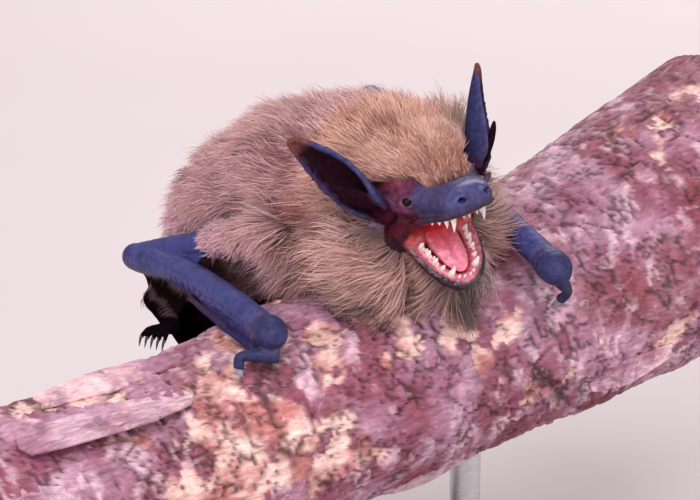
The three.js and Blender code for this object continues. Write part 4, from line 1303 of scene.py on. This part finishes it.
def buildTeeth():
    def cusp(at, aim, height, radius, lean=0.0):
        aim = unit(np.array(aim, float))
        tip = at + aim * height + np.array([0, lean, 0])
        side = mix(at, tip, 0.5) - np.array([0, 0.35 * lean, 0])
        return loft([(at - aim * rootDepth, 0), (at - aim * rootDepth * 0.6, radius), (at, radius * 1.02),
                     (side, radius * 0.62), (mix(at, tip, 0.85), radius * 0.26), (tip, 0)],
                    14, 12, up=(0, 1, 0.1))
    rows = {"upper": [], "lower": []}
    for side in (-1, 1):
        for i, (back, out, height, radius) in enumerate(upperTeeth):
            seat = np.array(upperSeat(back, out, side))
            aim = np.array([side * 0.05, 0.03, -1])
            rows["upper"].append(cusp(seat, aim, height, radius, lean=0.35 if i == 2 else 0))
            if i > 3:
                for step, share in ((-0.5, 0.62), (0.52, 0.7)):
                    spot = seat + np.array([-side * 0.1, step, 0])
                    rows["upper"].append(cusp(spot, aim, height * share, radius * 0.72))
        for i, (v, out, height, radius) in enumerate(lowerTeeth):
            seat = np.array(onJaw(side * out, v, 1.2))
            rows["lower"].append(cusp(seat, jawUp, height, radius, lean=0.2 if i == 2 else 0))
            if i > 3:
                for step, share in ((-0.48, 0.7), (0.5, 0.6)):
                    spot = np.array(onJaw(side * (out - 0.05), v + step, 1.2))
                    rows["lower"].append(cusp(spot, jawUp, height * share, radius * 0.72))
    material = makeTooth()
    for row, cusps in rows.items():
        obj = inHead(joined(row + "Teeth", cusps))
        head = pointsOf(obj) @ headTurn
        gap = np.abs(head[:, 2] + 2.0) if row == "upper" else np.abs(jawPlace(head)[1] - 1.2)
        paint(obj, "toothTone", mix(shade("d9b49a"), shade("f6eee8"), smooth(0.0, 0.9, gap)[:, None]))
        finished(rounded(obj), row + "Teeth", "claw", material=material)
    print("teeth done")


tongue = [((1.4, 1.1), 0), ((3.4, 1.2), 2.3, 1.2, 0.8), ((6.6, 1.2), 2.3, 1.0, 0.8),
          ((9.6, 1.3), 1.75, 0.8, 0.7), ((11.6, 1.3), 0)]


def buildTongue():
    obj = alongJaw(tongue, rings=80, around=72)
    points = pointsOf(obj)
    reach, high = jawPlace(points)
    top = smooth(1.2, 1.9, high)
    lump = noiseAt(points, 0.55, 9, 2) - 0.5
    groove = -0.34 * np.exp(-(points[:, 0] / 0.4) ** 2) * smooth(10.9, 9.4, reach)
    move = top * groove + 0.10 * lump + 0.12 * (noiseAt(points, 2.2, 3) - 0.5)
    movePoints(obj, points + np.array(jawUp) * move[:, None])
    tone = mix(shade("be2630"), shade("f890a8"), smooth(4.5, 10.0, reach)[:, None])
    inHead(obj)
    paint(obj, "skinTone", tone * (0.85 + 0.3 * (lump[:, None] + 0.5)))
    mark(obj, "wet", np.full(len(points), 0.9))
    finished(rounded(obj), "batTongue", "mouth", "tongue", material=makeSkin("batTongue"))


def buildEyes():
    material = makeEye()
    for name, side in (("right", -1), ("left", 1)):
        obj = addBall(48, 32, eyeball["radius"])
        points = pointsOf(obj)
        flip = np.array([side, 1, 1])
        aim = unit(np.array(lids["aim"]) * flip)
        bulge = eyeball["bulge"] * smooth(0.72, 0.98, unit(points) @ aim)
        movePoints(obj, (points + aim * bulge[:, None]) + np.array(pose["eye"]) * flip)
        finished(rounded(inHead(obj)), "eye" + name.title(), "eye", "eye_" + name, material=material)


def buildClaws():
    material = makeClaw()

    def hook(points, radii, pale):
        obj = loft([(points[0], 0), *zip(points[1:-1], radii), (points[-1], 0)], 26, 16, up=(0.3, 1, 0))
        share = nearLine(pointsOf(obj), points)[1]
        paint(obj, "clawTone", mix(shade(pale), shade("2e2830"), smooth(0.4, 1.0, share)[:, None]))
        return obj
    for name, b in sides.items():
        line = [mix(*b["claw"], share) for share in (-0.55, -0.2, 0.35, 0.8, 1)]
        obj = rounded(hook(line, [0.42, 0.36, 0.18], "958da0"))
        finished(obj, "thumbClaw" + name.title(), "claw", "thumb_claw_" + name, material=material)
    hooks = []
    for b in sides.values():
        for middle, end, tip in b["toeEnds"]:
            arch = [mix(end, tip, 0.3) + np.array([0, 0, 0.22]), mix(end, tip, 0.75) + np.array([0, 0, 0.1])]
            line = [mix(end, middle, 0.25), mix(end, middle, 0.08), *arch, tip]
            hooks.append(hook(line, [0.24, 0.19, 0.1], "3b3440"))
    finished(rounded(joined("toeClaws", hooks)), "toeClaws", "claw", material=material)
    print("eyes, tongue and claws done")


# The coat: the tufts of each piece, with their shares of length, width, spread and rise.
fur = {
    "seed": 7, "patch": 0.003, "clump": 9, "headWide": 0.105, "bodyWide": 0.15,
    "rings": (0.0, 0.4, 0.75), "taper": (0.9, 1.0, 0.62), "bend": 0.45, "flatness": 0.78, "sunk": 0.15,
    "lengths": (0.62, 1.1), "rises": (0.75, 1.2), "widths": (0.75, 1.25), "pulls": (0.2, 0.65),
    "spread": 0.26, "wander": 0.075, "pale": 0.16, "paleShare": 0.45, "light": (0.78, 1.2), "rootShare": 0.82,
    "counts": {"coatCrown": 12200, "coatCheeks": 11800, "coatNeck": 12200, "coatShoulders": 11800,
               "coatBack": 10800, "coatRump": 8600, "coatBreast": 12200, "coatFlankRight": 7200,
               "coatFlankLeft": 6000},
}
headPieces = ("coatCrown", "coatCheeks")
headMiddle = np.array([0, 1.5, 0])
furTones = {word: shade(code) for word, code in {
    "back": "bf9092", "backDark": "7a484c", "crown": "d39f8f", "brow": "8f5344", "cinnamon": "8f4030",
    "chest": "c99f98", "chestDarkAndShade": "6e4038", "flank": "d2a2b2", "cheek": "dba8a0", "muzzle": "7c4c44",
    "root": "2b1619", "tip": "f0ccc6"}.items()}


# The coat's colour at places on the body.
def coatTone(points, seed):
    head = points @ headTurn
    x, y, z = points.T
    patch = noiseAt(points, 6.5, seed, 3)
    streak = noiseAt(points * np.array([1, 0.45, 1]), 1.5, seed + 1, 2)
    tone = Tone(np.broadcast_to(furTones["back"], points.shape), furTones)
    tone.lay("backDark", 0.8 * smooth(0.52, 0.66, 0.5 * patch + 0.5 * streak))
    # The lower flanks are paler, and are painted lighter still as painted light where the arm shades them.
    tone.lay("flank", smooth(-9, -14, z) * smooth(9, 16, y))
    tone.lay("chest", smooth(-5.5, -9.5, z) * smooth(19, 11, y))
    tone.lay("chestDarkAndShade", 0.85 * smooth(-5, -9, z) * smooth(19, 11, y) * smooth(0.5, 0.62, streak))
    behindEar = np.exp(-((y - 8.5) / 4.8) ** 2 - ((z + 3.4) / 3.6) ** 2) * smooth(5.5, 9, np.abs(x))
    tone.lay("cinnamon", 0.9 * behindEar)
    # Darker fur under each arm, where it meets the chest: painted shade. The same dark colour also gives the
    # chest its real dark streaks above.
    armpitShadeGap = ((np.abs(x) - 10) / 4) ** 2 + ((y - 12) / 3.5) ** 2 + ((z + 11.5) / 3) ** 2
    tone.lay("chestDarkAndShade", 0.7 * np.exp(-armpitShadeGap))
    headX, headY, headZ = head.T
    onHead = smooth(12.5, 9.5, np.linalg.norm(head - headMiddle, axis=1))
    tone.lay("crown", onHead * smooth(-1.5, 0.5, headZ))
    tone.lay("brow", 0.75 * onHead * smooth(-1.0, -4.5, headY) * smooth(0.5, 2.5, headZ))
    tone.lay("brow", 0.65 * onHead * smooth(0.54, 0.68, streak))
    tone.lay("muzzle", smooth(-5.2, -7.0, headY) * smooth(-1.0, 1.0, headZ))
    tone.lay("cheek", 0.85 * smooth(13, 10, np.linalg.norm(head, axis=1)) * smooth(-2.4, -4.4, headZ))
    earFoot = ((np.abs(headX) - 6) / 1.3) ** 2 + ((headY - 2.0) / 2.0) ** 2 + ((headZ - 4.2) / 1.8) ** 2
    tone.lay("cheek", 0.9 * np.exp(-earFoot))
    return tone.values


# Length, lie and rise of the coat. The lie runs to the tail, and down over breast and flanks.
def coatShape(points, normals):
    head = points @ headTurn
    x, y, z = points.T
    headX, headY, headZ = head.T
    reach, high = jawPlace(head)
    headward = smooth(13.5, 9.5, np.linalg.norm(head - headMiddle, axis=1))
    length = 7.2 - 1.6 * smooth(30, 50, y) - 1.6 * smooth(-14, -15.5, z) * smooth(14, 10, y)
    onHead = np.interp(headY, [-8, -6, -4, -1.5, 2, 6], [0.9, 1.3, 2.1, 3.2, 4.1, 5.2])
    under = np.interp(headY, [-8, -4, 0, 4], [1.5, 2.1, 3.0, 4.2])
    short = mix(under, onHead, smooth(-3, 0, headZ))
    length = mix(length, short, headward)
    onJawSide = np.minimum(length, 1.6 + 0.4 * np.abs(high - 0.6))
    length = mix(length, onJawSide, headward * smooth(3, 5, reach))
    puff = smooth(3.6, 5.6, np.abs(headX)) * smooth(10, 6, headY) * smooth(5.5, 2.5, headZ)
    puff = puff * np.maximum(smooth(-2.0, -3.6, headZ), smooth(5.0, 6.5, headY))
    length = mix(length, 7.4, puff * smooth(1.0, 3.0, headY + 0.4 * np.maximum(-4 - headZ, 0)))
    legs = smooth(37, 42, y) * smooth(8.5, 11, np.abs(x))
    length = mix(length, 3.0, legs)
    down = np.where(z < -7, 0.85, 0.2)
    outward = 0.35 * np.sign(x) * smooth(1, 8, np.abs(x))
    lie = stacked(outward, 0.95, -down)
    crownLie = stacked(0.25 * np.sign(headX) * smooth(0.5, 4, np.abs(headX)), 0.8, 0.5)
    cheekLie = stacked(0.4 * np.sign(headX), 0.75, -0.65)
    headLie = mix(cheekLie, crownLie, smooth(-2.5, 0.5, headZ)[:, None]) @ headTurn.T
    lie = mix(lie, headLie, headward[:, None])
    breast = smooth(15, 8, y) * smooth(-6, -9, z) * (1 - headward)
    lie = mix(lie, stacked(0.45 * np.sign(x), 0.25, -1.0), breast[:, None])
    side = stacked(np.sign(headX), 0.2, 0.12) @ headTurn.T
    lie = mix(lie, side, (0.9 * puff)[:, None])
    swirl = np.stack([noiseAt(points, 7, seed, 2) for seed in (61, 62, 63)], -1) - 0.5
    lie = unit(lie) + 1.3 * swirl
    lie = unit(lie - normals * np.sum(lie * normals, axis=1, keepdims=True))
    rise = 1.05 + 0.5 * (noiseAt(points, 3, 64, 2) - 0.5) + 0.45 * puff
    for b in sides.values():
        gap, share = nearLine(points, [b["elbow"], b["shoulder"]])
        front = np.linalg.norm(points - mix(b["elbow"], b["shoulder"], 0.85), axis=1)
        near = np.maximum(smooth(6.5, 4.2, gap) * smooth(0.97, 0.8, share), 0.8 * smooth(7, 4.5, front))
        length, rise = length * (1 - 0.62 * near), rise * (1 - 0.4 * near)
    return length, lie, rise


def regionOf(points, normals, onFace):
    head = points @ headTurn
    region = np.full(len(points), "coatBack", dtype="U16")
    x, y = points[:, 0], points[:, 1]
    region[y < 21] = "coatShoulders"
    region[y < 11] = "coatNeck"
    region[y > 35] = "coatRump"
    flank = (np.abs(normals[:, 0]) > 0.8) & (y > 17) & (y < 46)
    region[flank & (x < 0)] = "coatFlankRight"
    region[flank & (x > 0)] = "coatFlankLeft"
    region[(normals[:, 2] < -0.35) | ((y < 12) & (points[:, 2] < -8))] = "coatBreast"
    region[onFace & (head[:, 2] > -0.5)] = "coatCrown"
    region[onFace & (head[:, 2] <= -0.5)] = "coatCheeks"
    return region


# A tuft's place on the unwrapped skin: round the trunk and along it, or round the head.
def unwrapped(points, onHead):
    head = points @ headTurn
    around = np.arctan2(points[:, 0], points[:, 2] + 6 + 0.3 * points[:, 1]) / (2 * math.pi) + 0.5
    trunk = np.stack([around, np.clip((points[:, 1] + 5) / 65, 0, 1)], -1)
    ball = unit(head + np.array([0, 0, 1.5]))
    face = np.stack([np.arctan2(ball[:, 0], ball[:, 2]) / (2 * math.pi) + 0.5,
                     np.arccos(np.clip(ball[:, 1], -1, 1)) / math.pi], -1)
    return 0.004 + 0.988 * np.where(onHead[:, None], face, trunk)


def buildCoatPiece(name, roots, normals, width, seed, material):
    rng = np.random.default_rng(seed)
    n = len(roots)
    length, lie, rise = coatShape(roots, normals)
    length = length * rng.uniform(*fur["lengths"], n)
    across = unit(np.cross(normals, lie))
    lie = unit(lie + across * rng.normal(0, fur["spread"], (n, 1)))
    rise = rise * rng.uniform(*fur["rises"], n)
    bend, flatness = fur["bend"], fur["flatness"]
    tips = roots + length[:, None] * (normals * ((1 - bend) * rise)[:, None] + lie * flatness)
    tree = KDTree(n // fur["clump"] + 1)
    heads = rng.choice(n, n // fur["clump"] + 1, replace=False)
    for k in heads:
        tree.insert(roots[k], int(k))
    tree.balance()
    leader = np.array([tree.find(root)[1] for root in roots])
    pull = rng.uniform(*fur["pulls"], n)[:, None]
    wander = rng.normal(0, fur["wander"], (n, 3)) * length[:, None]
    rings = np.array(fur["rings"] + (1.0,))
    centre = np.empty((n, 4, 3))
    for k, s in enumerate(rings):
        body = roots + length[:, None] * (normals * (rise * (s - bend * s * s))[:, None]
                                          + lie * (flatness * ((1 - bend) * s + bend * s * s)))
        centre[:, k] = body + (tips[leader] - tips) * pull * s ** 1.5 + wander * s * s
    centre[:, 0] -= normals * fur["sunk"]
    thick = width * rng.uniform(*fur["widths"], n)
    points = np.empty((n, 10, 3))
    shading = np.empty((n, 10, 3))
    along = unit(centre[:, 3] - centre[:, 0])
    sideways = unit(np.cross(along, normals + 1e-4))
    over = np.cross(sideways, along)
    spin = rng.uniform(0, 2 * math.pi, n)
    for k in range(3):
        for j in range(3):
            angle = spin + 2 * math.pi * j / 3
            radial = sideways * np.cos(angle)[:, None] + over * np.sin(angle)[:, None]
            points[:, 3 * k + j] = centre[:, k] + radial * (0.5 * thick * fur["taper"][k])[:, None]
            shading[:, 3 * k + j] = unit(0.5 * radial + 0.65 * normals + 0.25 * over)
    points[:, 9] = centre[:, 3]
    shading[:, 9] = unit(0.5 * over + 0.6 * normals)
    faces = [(k + j, k + 3 + j, k + 3 + (j + 1) % 3, k + (j + 1) % 3) for k in (0, 3) for j in range(3)]
    faces += [(6 + j, 9, 6 + (j + 1) % 3) for j in range(3)] + [(0, 1, 2)]
    loops = np.array([i for face in faces for i in face])
    allLoops = (loops[None] + 10 * np.arange(n)[:, None]).ravel().astype(np.int32)
    allSizes = np.tile([len(face) for face in faces], n)
    mesh = bpy.data.meshes.new(name)
    mesh.vertices.add(10 * n)
    mesh.vertices.foreach_set("co", points.reshape(-1).astype(np.float32))
    mesh.loops.add(len(allLoops))
    mesh.loops.foreach_set("vertex_index", allLoops)
    mesh.polygons.add(len(allSizes))
    mesh.polygons.foreach_set("loop_start", (np.cumsum(allSizes) - allSizes).astype(np.int32))
    mesh.polygons.foreach_set("loop_total", allSizes.astype(np.int32))
    mesh.update(calc_edges=True)
    mesh.polygons.foreach_set("use_smooth", np.ones(len(allSizes), bool))
    obj = bpy.data.objects.new(name, mesh)
    bpy.context.collection.objects.link(obj)
    share = np.repeat(rings, [3, 3, 3, 1])
    tip = coatTone(roots, coatSeed) * rng.uniform(*fur["light"], (n, 1))
    tip = mix(tip, furTones["tip"], np.where(rng.random(n) < fur["pale"], fur["paleShare"], 0.0)[:, None])
    fade = smooth(-0.05, 0.72, share)[None, :, None]
    tone = mix(mix(tip, furTones["root"], fur["rootShare"])[:, None, :], tip[:, None, :], fade)
    tone = tone * (1 + 0.18 * smooth(0.7, 1.0, share))[None, :, None]
    paint(obj, "furTone", tone.reshape(-1, 3))
    layer = mesh.attributes.new("custom_normal", "FLOAT_VECTOR", "POINT")
    layer.data.foreach_set("vector", shading.reshape(-1).astype(np.float32))
    onHead = np.full(n, name in headPieces)
    patch = fur["patch"] * np.stack([np.tile([0, 0.5, 1], 3).tolist() + [0.5], share], -1)
    place = (unwrapped(roots, onHead)[:, None, :] + patch[None]).reshape(-1, 2)
    mesh.uv_layers.new(name="OFBake").data.foreach_set("uv", place[allLoops].astype(np.float32).ravel())
    finished(obj, name, "fur", material=material)


def buildCoat(obj, furry, onFace):
    rng = np.random.default_rng(fur["seed"])
    corners = cornersOf(obj)
    points, normals = pointsOf(obj), normalsOf(obj)
    a, b, c = points[corners[:, 0]], points[corners[:, 1]], points[corners[:, 2]]
    area = np.linalg.norm(np.cross(b - a, c - a), axis=1) / 2
    middle = (a + b + c) / 3
    region = regionOf(middle, unit(normals[corners].mean(axis=1)), onFace[corners].mean(axis=1) > 0.5)
    weight = area * furry[corners].mean(axis=1) ** 2
    weight = weight * (0.45 + 0.55 * smooth(0.35, -0.2, -normals[corners].mean(axis=1)[:, 2]))
    material = makeFur()
    for k, (name, count) in enumerate(fur["counts"].items()):
        share = weight * (region == name)
        if share.sum() < 1e-6:
            continue
        picks = rng.choice(len(share), count, p=share / share.sum())
        r, s = np.sqrt(rng.random(count)), rng.random(count)
        parts = np.stack([1 - r, r * (1 - s), r * s], -1)[..., None]
        roots = (points[corners[picks]] * parts).sum(axis=1)
        out = unit((normals[corners[picks]] * parts).sum(axis=1))
        width = fur["headWide"] if name in headPieces else fur["bodyWide"]
        buildCoatPiece(name, roots, out, width, 100 + k, material)
        print(name, count, "area", round(float((area * (region == name) * (weight > 0)).sum())))


buildShot()
buildLight()
buildFloor()
buildStand()
barkMaterial = buildBranch()
buildPeels(barkMaterial)
skinObject, skinPoints, skinMasks = buildSkin()
furriness = furryAt(skinPoints, skinMasks)
carveSkin(skinObject, skinPoints, skinMasks)
paintSkin(skinObject, skinPoints, skinMasks, furriness)
buildCoat(skinObject, furriness, skinMasks["face"])
fleshNodes = [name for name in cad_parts
              if not name.startswith(("stand", "perch", "eye", "thumb_claw", "tongue"))]
finished(rounded(skinObject), "batSkin", "bare_skin", *fleshNodes, material=makeSkin("batSkin"))
buildTeeth()
buildTongue()
buildEyes()
buildClaws()
